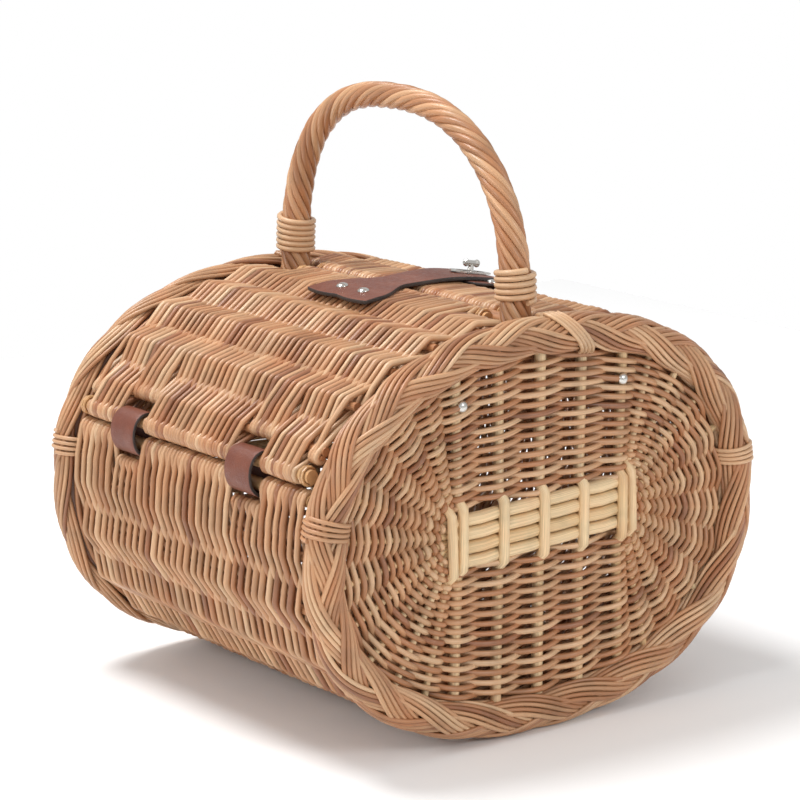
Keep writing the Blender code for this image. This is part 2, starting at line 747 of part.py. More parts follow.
def strap_half(y):
    """Half width of the strap: flared end, waist and shield-shaped tip."""
    if y < STRAP_WAIST_Y:
        share = ease((y - STRAP_RIVET_Y) / (STRAP_WAIST_Y - STRAP_RIVET_Y))
        return STRAP_END_HALF + (STRAP_WAIST_HALF - STRAP_END_HALF) * share
    if y < STRAP_SHIELD_Y:
        share = ease((y - STRAP_WAIST_Y) / (STRAP_SHIELD_Y - STRAP_WAIST_Y))
        return STRAP_WAIST_HALF + (STRAP_SHIELD_HALF - STRAP_WAIST_HALF) * share
    share = (y - STRAP_SHIELD_Y) / (STRAP_TIP_Y - STRAP_SHIELD_Y)
    return STRAP_SHIELD_HALF + (STRAP_TIP_HALF - STRAP_SHIELD_HALF) * share * share


def strap_lift(y):
    """Height of the strap's underside over the lids, raised where it lies on the patch."""
    raised = PATCH_THICK + TOUCH
    patch_edge = LOCK_Y - PATCH_BAND / 2
    return TOUCH + raised * ease((y - STRAP_WAIST_Y) / (patch_edge - TOUCH - STRAP_WAIST_Y))


def leather_strip(name, low_y, high_y, half_at, lift_at, thick, stations, pivot):
    """Strip of leather that follows the lids."""
    rows = []
    for step in range(stations + 1):
        y = low_y + (high_y - low_y) * step / stations
        half = half_at(y)
        under = lid_point(y, lift_at(y))
        over = lid_point(y, lift_at(y) + thick)
        rows.append([
            under - Vector((half, 0.0, 0.0)), under + Vector((half, 0.0, 0.0)),
            over + Vector((half, 0.0, 0.0)), over - Vector((half, 0.0, 0.0))])
    mesh = bmesh.new()
    add_sweep(mesh, rows, False)
    return piece(name, mesh, LEATHER, pivot)


def lock_frame():
    """Place on the lid under the lock, with Z out of the lid and Y along the strap."""
    step = PATCH_BAND / 2
    along = (lid_point(LOCK_Y + step, 0.0) - lid_point(LOCK_Y - step, 0.0)).normalized()
    normal = Vector((1.0, 0.0, 0.0)).cross(along)
    turn = Matrix((Vector((1.0, 0.0, 0.0)), along, normal)).transposed().to_4x4()
    return Matrix.Translation(lid_point(LOCK_Y, 0.0)) @ turn


def rounded_slot(length, band, steps):
    """Points of a slot with round ends along Y."""
    points = []
    straight = (length - band) / 2
    for end in (1, -1):
        for step in range(steps + 1):
            angle = math.pi * step / steps + (0.0 if end > 0 else math.pi)
            points.append(Vector((band / 2 * math.cos(angle), end * straight + band / 2 * math.sin(angle), 0.0)))
    return points


def build_strap(front_pivot, strap_pivot):
    """Lock strap: its riveted root on the front lid and the flap that folds back over it."""
    leather_strip(
        "lock_strap_root", STRAP_END_Y, STRAP_BEND_Y - TOUCH, strap_half, strap_lift, STRAP_THICK,
        STRAP_STATIONS // 3, front_pivot)
    flap = leather_strip(
        "lock_strap_flap", STRAP_BEND_Y, STRAP_TIP_Y, strap_half, strap_lift, STRAP_THICK,
        STRAP_STATIONS, strap_pivot)
    hole = bmesh.new()
    outline = rounded_slot(SLOT_LENGTH + 2 * STRAP_HOLE_MARGIN, SLOT_BAND + 2 * STRAP_HOLE_MARGIN, 6)
    face = hole.faces.new([hole.verts.new(point) for point in outline])
    drawn = bmesh.ops.extrude_face_region(hole, geom=[face])
    moved = [item for item in drawn["geom"] if isinstance(item, bmesh.types.BMVert)]
    bmesh.ops.translate(hole, verts=moved, vec=(0.0, 0.0, PLATE_LENGTH))
    bmesh.ops.transform(hole, matrix=lock_frame(), verts=hole.verts)
    combine(flap, cutter("strap_hole", hole), "DIFFERENCE")
    for end, side in (("left", -1), ("right", 1)):
        top = lid_point(STRAP_RIVET_Y, strap_lift(STRAP_RIVET_Y) + STRAP_THICK)
        mesh = bmesh.new()
        place = top + Vector((side * STRAP_RIVET_SPACING / 2, 0.0, 0.0))
        add_dome(mesh, place, rivet_normal(STRAP_RIVET_Y), RIVET_R, RIVET_HEIGHT)
        piece(f"strap_{end}_rivet", mesh, NICKEL, front_pivot)


def rivet_normal(y):
    """Direction straight out of the lids."""
    along = (lid_point(y + RIVET_R, 0.0) - lid_point(y - RIVET_R, 0.0)).normalized()
    return Vector((1.0, 0.0, 0.0)).cross(along)


def build_lock(back_pivot, strap_pivot, button_pivot):
    """Patch with its rivets, lock post and turn button on the back lid, and the strap's slotted plate."""
    half = PATCH_LENGTH / 2
    leather_strip(
        "lock_patch", LOCK_Y - PATCH_BAND / 2, LOCK_Y + PATCH_BAND / 2, lambda y: half, lambda y: TOUCH,
        PATCH_THICK, STRAP_STATIONS // 3, back_pivot)
    for end, side in (("left", -1), ("right", 1)):
        top = lid_point(LOCK_Y, TOUCH + PATCH_THICK)
        mesh = bmesh.new()
        place = top + Vector((side * PATCH_RIVET_SPACING / 2, 0.0, 0.0))
        add_dome(mesh, place, rivet_normal(LOCK_Y), RIVET_R, RIVET_HEIGHT)
        piece(f"patch_{end}_rivet", mesh, NICKEL, back_pivot)
    frame = lock_frame()
    plate_base = strap_lift(LOCK_Y) + STRAP_THICK + 2 * TOUCH
    plate = bmesh.new()
    steps = 8
    outer = []
    for corner in rounded_slot(SLOT_LENGTH, SLOT_BAND, steps):
        angle = math.atan2(corner.y / SLOT_LENGTH, corner.x / SLOT_BAND)
        outer.append(Vector((PLATE_BAND / 2 * math.cos(angle), PLATE_LENGTH / 2 * math.sin(angle), plate_base)))
    inner = [p + Vector((0.0, 0.0, plate_base)) for p in rounded_slot(SLOT_LENGTH, SLOT_BAND, steps)]
    add_band(plate, outer, inner, (0.0, 0.0, PLATE_THICK))
    bmesh.ops.transform(plate, matrix=frame, verts=plate.verts)
    piece("lock_plate", plate, NICKEL, strap_pivot)
    post = bmesh.new()
    post_base = TOUCH + PATCH_THICK + TOUCH
    post_top = plate_base + PLATE_THICK + TOUCH
    middle = Matrix.Translation((0.0, 0.0, (post_base + post_top) / 2))
    bmesh.ops.create_cone(
        post, cap_ends=True, segments=ROD_SIDES, radius1=POST_R, radius2=POST_R,
        depth=post_top - post_base, matrix=frame @ middle)
    piece("lock_post", post, NICKEL, back_pivot)
    build_button(frame, post_top + TOUCH, button_pivot)


def build_button(frame, base, pivot):
    """Turn button: a short stem under a bar with a ball at each end."""
    mesh = bmesh.new()
    bar_z = base + BUTTON_STEM_R + BUTTON_BALL_R
    profile = [
        (BUTTON_BAR_LENGTH / 2, BUTTON_BALL_R / 2), (BUTTON_BAR_LENGTH / 2 - BUTTON_BALL_R / 2, BUTTON_BALL_R),
        (BUTTON_BAR_LENGTH / 2 - BUTTON_BALL_R, BUTTON_BALL_R),
        (BUTTON_BAR_LENGTH / 2 - 1.5 * BUTTON_BALL_R, BUTTON_BAR_R)]
    profile += [(-along, radius) for along, radius in reversed(profile)]
    rows = []
    for along, radius in profile:
        row = []
        for corner in range(ROD_SIDES // 2):
            angle = 4 * math.pi * corner / ROD_SIDES
            row.append(Vector((radius * math.cos(angle), along, bar_z + radius * math.sin(angle))))
        rows.append(row)
    add_sweep(mesh, rows, False)
    bmesh.ops.transform(mesh, matrix=frame, verts=mesh.verts)
    bar = piece("turn_button", mesh, NICKEL, pivot)
    stem = bmesh.new()
    place = Matrix.Translation((0.0, 0.0, (base + bar_z) / 2))
    bmesh.ops.create_cone(
        stem, cap_ends=True, segments=ROD_SIDES // 2, radius1=BUTTON_STEM_R, radius2=BUTTON_STEM_R * 0.8,
        depth=bar_z - base, matrix=frame @ place)
    combine(bar, cutter("button_stem", stem), "UNION")


def build():
    """The whole basket."""
    for old in list(bpy.data.objects):
        bpy.data.objects.remove(old, do_unlink=True)
    front_pivot = empty("front_lid_pivot", hinge_rod_place(-1))
    back_pivot = empty("back_lid_pivot", hinge_rod_place(1))
    bend = lid_point(STRAP_BEND_Y, strap_lift(STRAP_BEND_Y) + STRAP_THICK)
    strap_pivot = empty("strap_pivot", bend)
    button_pivot = empty("button_pivot", lock_frame().translation)
    build_trough()
    for end, side in (("left", -1), ("right", 1)):
        build_border(end, side)
        build_end_panel(end, side)
        build_slath(end, side)
        build_studs(end, side)
    build_lid("front", -1, front_pivot)
    build_lid("back", 1, back_pivot)
    build_hinge_rings("front", -1)
    build_hinge_rings("back", 1)
    build_handle()
    build_strap(front_pivot, strap_pivot)
    build_lock(back_pivot, strap_pivot, button_pivot)
    for pivot in (front_pivot, back_pivot, strap_pivot, button_pivot):
        print(pivot.name, [round(value, 5) for value in pivot.location])
    print("button axis", [round(value, 5) for value in lock_frame().col[2].xyz])


build()
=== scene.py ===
"""Looks of a wicker picnic basket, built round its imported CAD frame.

Metres, +Z up. X runs along the barrel, Y across it, and the origin is on the ground under its middle.
"""
import json
import logging
import math
import random
from collections.abc import Callable, Iterable, Sequence
from dataclasses import dataclass, field
from enum import Enum
from typing import ClassVar

import bmesh
import bpy
from mathutils import Matrix, Vector

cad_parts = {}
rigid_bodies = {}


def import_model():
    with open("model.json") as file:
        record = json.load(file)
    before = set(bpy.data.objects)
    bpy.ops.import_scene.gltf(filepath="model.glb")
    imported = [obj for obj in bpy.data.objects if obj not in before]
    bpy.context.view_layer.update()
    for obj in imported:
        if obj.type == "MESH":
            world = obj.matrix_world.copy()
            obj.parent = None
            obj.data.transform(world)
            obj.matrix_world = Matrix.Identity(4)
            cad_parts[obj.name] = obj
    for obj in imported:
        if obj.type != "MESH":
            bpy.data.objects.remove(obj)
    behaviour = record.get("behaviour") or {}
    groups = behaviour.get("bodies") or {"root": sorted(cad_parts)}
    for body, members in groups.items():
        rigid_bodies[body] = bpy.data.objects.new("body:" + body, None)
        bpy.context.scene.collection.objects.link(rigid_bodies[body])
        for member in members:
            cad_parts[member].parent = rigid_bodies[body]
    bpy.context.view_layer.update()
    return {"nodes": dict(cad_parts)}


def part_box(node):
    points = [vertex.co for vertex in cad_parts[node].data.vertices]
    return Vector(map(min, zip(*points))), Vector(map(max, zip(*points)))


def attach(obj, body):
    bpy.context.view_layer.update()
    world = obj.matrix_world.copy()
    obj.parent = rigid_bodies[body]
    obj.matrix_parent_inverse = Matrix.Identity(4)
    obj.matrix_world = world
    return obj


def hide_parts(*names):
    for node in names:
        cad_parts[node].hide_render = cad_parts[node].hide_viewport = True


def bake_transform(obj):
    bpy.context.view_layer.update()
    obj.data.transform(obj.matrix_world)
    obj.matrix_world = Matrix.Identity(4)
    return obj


LOG = logging.getLogger("basket")
SEED = 20714

Colour = tuple[float, float, float]


class Slot(Enum):
    """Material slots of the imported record."""

    WILLOW = "willow"
    PALE = "pale_willow"
    LEATHER = "leather"
    NICKEL = "nickel"


class Half(Enum):
    """One of two halves of the barrel."""

    @property
    def word(self) -> str:
        """Name of the half in piece names."""
        return self.name.lower()


class End(Half):
    """Two ends of the barrel along X."""

    LEFT = -1
    RIGHT = 1


class Side(Half):
    """Two sides of the barrel along Y."""

    FRONT = -1
    BACK = 1


# Node helpers


class NodeBench:
    """Adds and joins nodes in one tree."""

    def __init__(self, tree: bpy.types.NodeTree) -> None:
        """Keeps the tree that nodes go into."""
        self.tree = tree

    def add(self, kind: str, settings: dict | None = None, **sockets) -> bpy.types.Node:
        """Adds a node.

        Args:
            kind: Blender's node type.
            settings: Properties of the node.
            sockets: Values or sockets for inputs, by input name with _ for a space.

        Returns:
            The new node.
        """
        node = self.tree.nodes.new(kind)
        for name, value in (settings or {}).items():
            setattr(node, name, value)
        for name, value in sockets.items():
            self.feed(node.inputs[name.replace("_", " ")], value)
        return node

    def feed(self, target: bpy.types.NodeSocket, value) -> None:
        """Joins a socket to an input, or sets the input's value."""
        if isinstance(value, bpy.types.NodeSocket):
            self.tree.links.new(value, target)
        else:
            target.default_value = value

    def math(self, operation: str, first, second, kind: str = "ShaderNodeMath") -> bpy.types.NodeSocket:
        """Result of a sum on two values, or on two vectors with their kind of node."""
        node = self.add(kind, {"operation": operation})
        self.feed(node.inputs[0], first)
        self.feed(node.inputs[1], second)
        return node.outputs[0]

    def blend(self, share, first, second, mode: str = "MIX") -> bpy.types.NodeSocket:
        """Mix of two colours."""
        node = self.add("ShaderNodeMix", {"data_type": "RGBA", "blend_type": mode})
        for target, value in zip((node.inputs[0], node.inputs[6], node.inputs[7]), (share, first, second)):
            self.feed(target, value)
        return node.outputs[2]

    def noise(self, vector, scale: float, detail: float = 3.0) -> bpy.types.NodeSocket:
        """Value of a noise texture."""
        return self.add("ShaderNodeTexNoise", Vector=vector, Scale=scale, Detail=detail).outputs[0]

    def spread(self, value, low: float, high: float, to_low: float, to_high: float) -> bpy.types.NodeSocket:
        """Value mapped from one range to another and held there."""
        ends = {"From_Min": low, "From_Max": high, "To_Min": to_low, "To_Max": to_high}
        return self.add("ShaderNodeMapRange", Value=value, **ends).outputs[0]

    def fill(self, node: bpy.types.Node, values: dict) -> None:
        """Sets or joins several inputs of a node by name."""
        for name, value in values.items():
            self.feed(node.inputs[name], value)

    def vector(self, operation: str, first, second) -> bpy.types.NodeSocket:
        """Result of a sum on two vectors."""
        return self.math(operation, first, second, "ShaderNodeVectorMath")

    def scale(self, vector, size) -> bpy.types.NodeSocket:
        """Vector times a value."""
        node = self.add("ShaderNodeVectorMath", {"operation": "SCALE"}, Scale=size)
        self.feed(node.inputs[0], vector)
        return node.outputs[0]


def node_group(name: str, inputs: dict[str, str], outputs: dict[str, str]) -> tuple[NodeBench, dict, dict]:
    """Starts a shared node group.

    Args:
        name: Name of the group.
        inputs: Socket types by input name.
        outputs: Socket types by output name.

    Returns:
        Bench in the group, its input sockets and its output sockets.
    """
    tree = bpy.data.node_groups.new(name, "ShaderNodeTree")
    for label, kind in inputs.items():
        tree.interface.new_socket(label, in_out="INPUT", socket_type=kind)
    for label, kind in outputs.items():
        tree.interface.new_socket(label, in_out="OUTPUT", socket_type=kind)
    bench = NodeBench(tree)
    source = bench.add("NodeGroupInput")
    sink = bench.add("NodeGroupOutput")
    return bench, dict(source.outputs.items()), dict(sink.inputs.items())


def grain_group() -> bpy.types.NodeTree:
    """Willow skin: streaks along a rod, blotches, nodes of bark and fine pores.

    Returns:
        Group that turns a rod's tone into colour, roughness and height.
    """
    made = bpy.data.node_groups.get("willow_grain")
    if made:
        return made
    bench, source, sink = node_group(
        "willow_grain",
        {"Tone": "NodeSocketColor", "Along": "NodeSocketVector", "Place": "NodeSocketVector"},
        {"Colour": "NodeSocketColor", "Roughness": "NodeSocketFloat", "Height": "NodeSocketFloat"})
    streak = bench.noise(source["Along"], 1.0, 5.0)
    blotch = bench.noise(source["Place"], 42.0, 2.0)
    pores = bench.noise(source["Place"], 900.0, 2.0)
    level = bench.math(
        "MULTIPLY", bench.spread(streak, 0.3, 0.72, 0.72, 1.22), bench.spread(blotch, 0.32, 0.68, 0.82, 1.16))
    toned = bench.scale(source["Tone"], level)
    bark = bench.spread(blotch, 0.45, 0.75, 0.0, 0.35)
    bench.feed(sink["Colour"], bench.blend(bark, toned, (0.33, 0.105, 0.03, 1.0)))
    bench.feed(sink["Roughness"], bench.spread(streak, 0.3, 0.7, 0.5, 0.34))
    bench.feed(sink["Height"], bench.math("ADD", streak, bench.math("MULTIPLY", pores, 0.35)))
    return bench.tree


def hide_group() -> bpy.types.NodeTree:
    """Smooth leather: pull-up tone, pebbled pores and scuffs.

    Returns:
        Group that turns a leather's tone into colour, roughness and height.
    """
    made = bpy.data.node_groups.get("leather_hide")
    if made:
        return made
    bench, source, sink = node_group(
        "leather_hide",
        {"Tone": "NodeSocketColor", "Worn": "NodeSocketColor", "Place": "NodeSocketVector"},
        {"Colour": "NodeSocketColor", "Roughness": "NodeSocketFloat", "Height": "NodeSocketFloat"})
    cloud = bench.noise(source["Place"], 55.0, 4.0)
    pebble = bench.add("ShaderNodeTexVoronoi", Vector=source["Place"], Scale=900.0).outputs[0]
    scuff = bench.noise(source["Place"], 260.0, 5.0)
    worn = bench.spread(cloud, 0.42, 0.75, 0.0, 0.6)
    colour = bench.blend(worn, source["Tone"], source["Worn"])
    bench.feed(sink["Colour"], bench.blend(bench.spread(scuff, 0.6, 0.8, 0.0, 0.35), colour, source["Worn"]))
    bench.feed(sink["Roughness"], bench.spread(scuff, 0.3, 0.7, 0.36, 0.55))
    bench.feed(sink["Height"], bench.math("ADD", pebble, bench.math("MULTIPLY", scuff, 0.6)))
    return bench.tree


# Finishes


@dataclass(frozen=True)
class Finish:
    """Finish of one colour, whose material is made once."""

    name: str
    colour: Colour
    bump: ClassVar[float] = 0.0

    def make(self) -> bpy.types.Material:
        """Material of this finish."""
        made = bpy.data.materials.get(self.name)
        if made:
            return made
        made = bpy.data.materials.new(self.name)
        made.use_nodes = True
        bench = NodeBench(made.node_tree)
        place = bench.add("ShaderNodeTexCoord").outputs
        bench.fill(made.node_tree.nodes["Principled BSDF"], self.inputs(bench, place))
        return made

    def inputs(self, bench: NodeBench, place: bpy.types.bpy_prop_collection) -> dict:
        """Values and sockets for the shader.

        Args:
            bench: Bench in the material.
            place: Outputs of its texture coordinates.

        Returns:
            What goes into each of the shader's inputs, by name.
        """
        raise NotImplementedError

    def skin(self, bench: NodeBench, group: bpy.types.NodeTree, strength: float, values: dict) -> dict:
        """Colour, roughness and normal that a skin group gives.

        Args:
            bench: Bench in the material.
            group: Group with the outputs Colour, Roughness and Height.
            strength: Strength of the bump.
            values: Inputs of the group.

        Returns:
            Sockets for the shader's inputs, by name.
        """
        skin = bench.add("ShaderNodeGroup", {"node_tree": group})
        bench.fill(skin, {"Tone": (*self.colour, 1.0), **values})
        bump = bench.add("ShaderNodeBump", Height=skin.outputs["Height"], Strength=strength)
        bump.inputs["Distance"].default_value = self.bump
        return {
            "Base Color": skin.outputs["Colour"],
            "Roughness": skin.outputs["Roughness"],
            "Normal": bump.outputs[0],
        }


@dataclass(frozen=True)
class Willow(Finish):
    """Varnished willow of one tone.

    A strand reads its grain along its own UVs, and a CAD rod along X.
    """

    along: tuple[float, float, float] = (3.0, 60.0, 1.0)
    by_uv: bool = True
    bump: ClassVar[float] = 0.00022

    def inputs(self, bench: NodeBench, place: bpy.types.bpy_prop_collection) -> dict:
        """Streaked skin under a thin varnish."""
        stretched = bench.vector("MULTIPLY", place["UV" if self.by_uv else "Object"], self.along)
        along = bench.vector("ADD", stretched, bench.scale(place["Object"], 11.0))
        skin = self.skin(bench, grain_group(), 0.6, {"Place": place["Object"], "Along": along})
        return skin | {"Specular IOR Level": 0.45, "Coat Weight": 0.25, "Coat Roughness": 0.25}


@dataclass(frozen=True)
class Leather(Finish):
    """Vegetable-tanned leather."""

    worn: Colour
    bump: ClassVar[float] = 0.00025

    def inputs(self, bench: NodeBench, place: bpy.types.bpy_prop_collection) -> dict:
        """Pebbled skin with a worn tone."""
        values = {"Worn": (*self.worn, 1.0), "Place": place["Object"]}
        return self.skin(bench, hide_group(), 1.0, values) | {"Specular IOR Level": 0.5}


@dataclass(frozen=True)
class Nickel(Finish):
    """Polished nickel plate with faint smears."""

    def inputs(self, bench: NodeBench, place: bpy.types.bpy_prop_collection) -> dict:
        """Mirror-like metal with an uneven gloss."""
        gloss = bench.spread(bench.noise(place["Object"], 240.0, 4.0), 0.35, 0.7, 0.16, 0.34)
        return {"Base Color": (*self.colour, 1.0), "Metallic": 1.0, "Roughness": gloss}


TONES = (
    Willow("willow_tan", (0.53, 0.285, 0.145)),
    Willow("willow_gold", (0.61, 0.355, 0.190)),
    Willow("willow_russet", (0.43, 0.200, 0.092)),
    Willow("willow_honey", (0.68, 0.435, 0.250)),
    Willow("willow_brown", (0.31, 0.130, 0.060)),
)
TONE_WEIGHTS = (34, 26, 20, 12, 8)
PALE_TONES = (
    Willow("willow_cream", (0.82, 0.61, 0.355)),
    Willow("willow_straw", (0.75, 0.53, 0.285)),
)
# Painted shade: a near-black tone for the core rods inside the border plait and the handle twist, standing in
# for the shade seen through their gaps.
PAINTED_SHADE_CORE = Willow("willow_shade", (0.13, 0.05, 0.02), by_uv=False)
CAD_PALE = Willow("willow_rod", (0.60, 0.35, 0.16), (14.0, 160.0, 160.0), by_uv=False)
HIDE = Leather("leather_brown", (0.155, 0.042, 0.022), (0.24, 0.075, 0.038))
HIDE_EDGE = Leather("leather_edge", (0.035, 0.030, 0.029), (0.075, 0.062, 0.056))
PLATED = Nickel("nickel_plate", (0.66, 0.64, 0.60))


# Routes


class Route:
    """A smooth line read by its arc length."""

    def __init__(self, points: Sequence[Vector]) -> None:
        """Measures the line through closely spaced points."""
        self.points = list(points)
        self.marks = [0.0]
        for first, second in zip(self.points, self.points[1:]):
            self.marks.append(self.marks[-1] + (second - first).length)
        self.length = self.marks[-1]

    def place(self, arc: float) -> tuple[Vector, Vector]:
        """Reads the line.

        Args:
            arc: Distance from the line's start; the line runs on straight past its ends.

        Returns:
            Point and unit tangent.
        """
        low = 0
        high = len(self.marks) - 1
        while high - low > 1:
            middle = (low + high) // 2
            if self.marks[middle] <= arc:
                low = middle
            else:
                high = middle
        run = self.points[high] - self.points[low]
        share = (arc - self.marks[low]) / (self.marks[high] - self.marks[low])
        return self.points[low] + run * share, run.normalized()


def ease(share: float) -> float:
    """Smooth step from 0 to 1."""
    held = min(max(share, 0.0), 1.0)
    return held * held * (3 - 2 * held)


@dataclass(frozen=True)
class Oval:
    """Superellipse that all sections of the barrel follow, in the YZ plane."""

    half_w: float = 0.207
    half_h: float = 0.1536
    centre_z: float = 0.1524
    power: float = 2.28
    fine: int = 720

    def point(self, turn: float, inset: float) -> Vector:
        """Point at a turn from +Y towards +Z, drawn in by inset."""
        across = math.cos(turn)
        up = math.sin(turn)
        y = (self.half_w - inset) * math.copysign(abs(across) ** (2 / self.power), across)
        z = self.centre_z + (self.half_h - inset) * math.copysign(abs(up) ** (2 / self.power), up)
        return Vector((0.0, y, z))

    def turn_at(self, z: float, inset: float) -> float:
        """Turn at which the right half reaches a height."""
        share = (z - self.centre_z) / (self.half_h - inset)
        return math.asin(math.copysign(abs(share) ** (self.power / 2), share))

    def turn_across(self, y: float, inset: float) -> float:
        """Turn at which the top lies over a distance from the middle."""
        share = y / (self.half_w - inset)
        return math.acos(math.copysign(abs(share) ** (self.power / 2), share))

    def arc(self, start: float, stop: float, inset: Callable[[float], float]) -> Route:
        """Route from one turn to another, drawn in by a share-dependent inset."""
        points = []
        for step in range(self.fine + 1):
            share = step / self.fine
            points.append(self.point(start + (stop - start) * share, inset(share)))
        return Route(points)

    def top(self, y: float, inset: float) -> Vector:
        """Point of the top over a distance from the middle."""
        return Vector((0.0, y, self.point(self.turn_across(y, inset), inset).z))


OVAL = Oval()

# Places that several pieces share
HINGE_Z = 0.213
HINGE_INSET = 0.0065
RAIL_Z = 0.1958
RAIL_INSET = 0.0125
RING_X = 0.074
RING_HALF = 0.0165


def away(point: Vector, tangent: Vector) -> Vector:
    """Direction square to the oval at a point, out of the barrel."""
    normal = Vector((0.0, tangent.z, -tangent.y))
    middle = Vector((0.0, 0.0, OVAL.centre_z))
    return normal if normal.dot(point - middle) > 0 else -normal


# Strands


@dataclass
class Strand:
    """One rod of willow along a line of points."""

    points: list[Vector]
    radius: float
    tone: int = 0
    closed: bool = False
    swell: list[float] | None = None


@dataclass
class StrandWork:
    """Rods that make up one piece."""

    name: str
    tones: tuple[Willow, ...] = TONES
    sides: int = 2
    strands: list[Strand] = field(default_factory=list)

    def add(self, strand: Strand) -> None:
        """Lays one more rod."""
        self.strands.append(strand)

    def build(self) -> bpy.types.Object:
        """Mesh object of all rods, each with the tone that it was given."""
        curve = bpy.data.curves.new(self.name, "CURVE")
        curve.dimensions = "3D"
        curve.bevel_depth = 1.0
        curve.bevel_resolution = self.sides
        curve.use_fill_caps = True
        for tone in self.tones:
            curve.materials.append(tone.make())
        for strand in self.strands:
            spline = curve.splines.new("POLY")
            spline.points.add(len(strand.points) - 1)
            swell = strand.swell or [1.0] * len(strand.points)
            for knot, point, size in zip(spline.points, strand.points, swell):
                knot.co = (*point, 1.0)
                knot.radius = strand.radius * size
            spline.use_cyclic_u = strand.closed
            spline.material_index = strand.tone
        guide = bpy.data.objects.new(self.name, curve)
        data = bpy.data.meshes.new_from_object(guide)
        data.name = self.name
        bpy.data.objects.remove(guide)
        LOG.info("%s: %d rods, %d faces", self.name, len(self.strands), len(data.polygons))
        return show(self.name, data)


def show(name: str, data: bpy.types.ID) -> bpy.types.Object:
    """Object that puts some data in the scene."""
    made = bpy.data.objects.new(name, data)
    bpy.context.scene.collection.objects.link(made)
    return made


def smooth(made: bpy.types.Object) -> None:
    """Shades a piece smooth."""
    for polygon in made.data.polygons:
        polygon.use_smooth = True


def seat(made: bpy.types.Object, body: str, stands_for: Iterable[str] = ()) -> bpy.types.Object:
    """Ties a piece to its body.

    Args:
        made: The finished piece.
        body: CAD body that carries it.
        stands_for: CAD nodes that it takes the place of.

    Returns:
        The same piece.
    """
    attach(made, body)
    nodes = list(stands_for)
    if nodes:
        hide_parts(*nodes)
    return made


def pick_tone(chance: random.Random, weights: Sequence[int] = TONE_WEIGHTS) -> int:
    """Index of a random tone."""
    return chance.choices(range(len(weights)), weights)[0]


# Woven walls


@dataclass(frozen=True)
class Edge:
    """Where a weaver turns back: a rod or stake at an arc length, and the turn's radius."""

    arc: float
    wrap: float


@dataclass
class WovenWall:
    """Wall of weavers that run round the barrel, over and under stakes along it."""

    name: str
    route: Route
    half: float
    stakes: Sequence[float]
    rise: float
    pitch: float
    weaver_r: float = 0.0023
    weaver_sizes: tuple[float, float] = (0.8, 1.15)
    waver: float = 0.00028
    stake_r: float = 0.0034
    notch_stake_r: float = 0.0019
    stake_tone: int = 2
    edge_margin: float = 0.006
    rod_wrap: float = 0.0058
    notch_wrap: float = 0.0034
    bend: tuple[tuple[float, float], ...] = ((0.0, 0.0), (0.05, 0.02), (0.5, 0.5), (0.95, 0.98))
    wrap_steps: int = 6
    tail: float = math.radians(20)

    def at(self, x: float, arc: float, lift: float) -> Vector:
        """Point of the wall, lifted out of its middle surface."""
        point, tangent = self.route.place(arc)
        lifted = point + away(point, tangent) * lift
        return Vector((x, lifted.y, lifted.z))

    def turn(self, x: float, edge: Edge, leaving: bool) -> list[Vector]:
        """Turn of a weaver round its edge, from outside to inside.

        Args:
            x: Place along the barrel.
            edge: What the weaver turns round.
            leaving: True at the wall's far edge.

        Returns:
            Points in the order away from the wall.
        """
        centre, tangent = self.route.place(edge.arc)
        out = away(centre, tangent)
        beyond = tangent if leaving else -tangent
        points = []
        for step in range(1, self.wrap_steps + 1):
            angle = (math.pi + self.tail) * step / self.wrap_steps
            point = centre + edge.wrap * (math.cos(angle) * out + math.sin(angle) * beyond)
            points.append(Vector((x, point.y, point.z)))
        return points

    def weaver(self, x: float, parity: int, first: Edge, last: Edge) -> list[Vector]:
        """Points of one weaver between two edges."""
        supports = []
        for index, arc in enumerate(self.stakes):
            if first.arc + self.edge_margin < arc < last.arc - self.edge_margin:
                supports.append((arc, self.rise * (-1) ** (index + parity)))
        supports = [(first.arc, first.wrap), *supports, (last.arc, last.wrap)]
        points = list(reversed(self.turn(x, first, False)))
        for (arc_a, lift_a), (arc_b, lift_b) in zip(supports, supports[1:]):
            for share, lean in self.bend:
                points.append(self.at(x, arc_a + (arc_b - arc_a) * share, lift_a + (lift_b - lift_a) * lean))
        points.append(self.at(x, *supports[-1]))
        return points + self.turn(x, last, True)

    def weave(self, edges: Callable[[float], tuple[Edge, Edge]], chance: random.Random) -> StrandWork:
        """Lays all weavers and stakes.

        Args:
            edges: First and last edge of a weaver by its place along the barrel.
            chance: Source of the rods' natural unevenness.

        Returns:
            Rods of the wall.
        """
        work = StrandWork(self.name)
        count = int((2 * self.half - 2 * self.weaver_r) / self.pitch)
        for index in range(count + 1):
            x = (index - count / 2) * self.pitch
            points = self.weaver(x, index % 2, *edges(x))
            size = chance.uniform(*self.weaver_sizes)
            phase = chance.uniform(0.0, 2 * math.pi)
            waves = chance.uniform(1.0, 2.5)
            for step, point in enumerate(points):
                share = step / len(points)
                point.x += self.waver * math.sin(phase + 2 * math.pi * waves * share)
            work.add(Strand(points, self.weaver_r * size, pick_tone(chance)))
        for arc in self.stakes:
            ends = [self.at(side * self.half, arc, 0.0) for side in (-1, 0, 1)]
            work.add(Strand(ends, self.stake_r, self.stake_tone))
        return work

    def short_stake(self, work: StrandWork, arc: float, low: float, high: float) -> None:
        """Adds a stake that closes a notch."""
        points = [self.at(x, arc, 0.0) for x in (low, (low + high) / 2, high)]
        work.add(Strand(points, self.notch_stake_r, self.stake_tone))


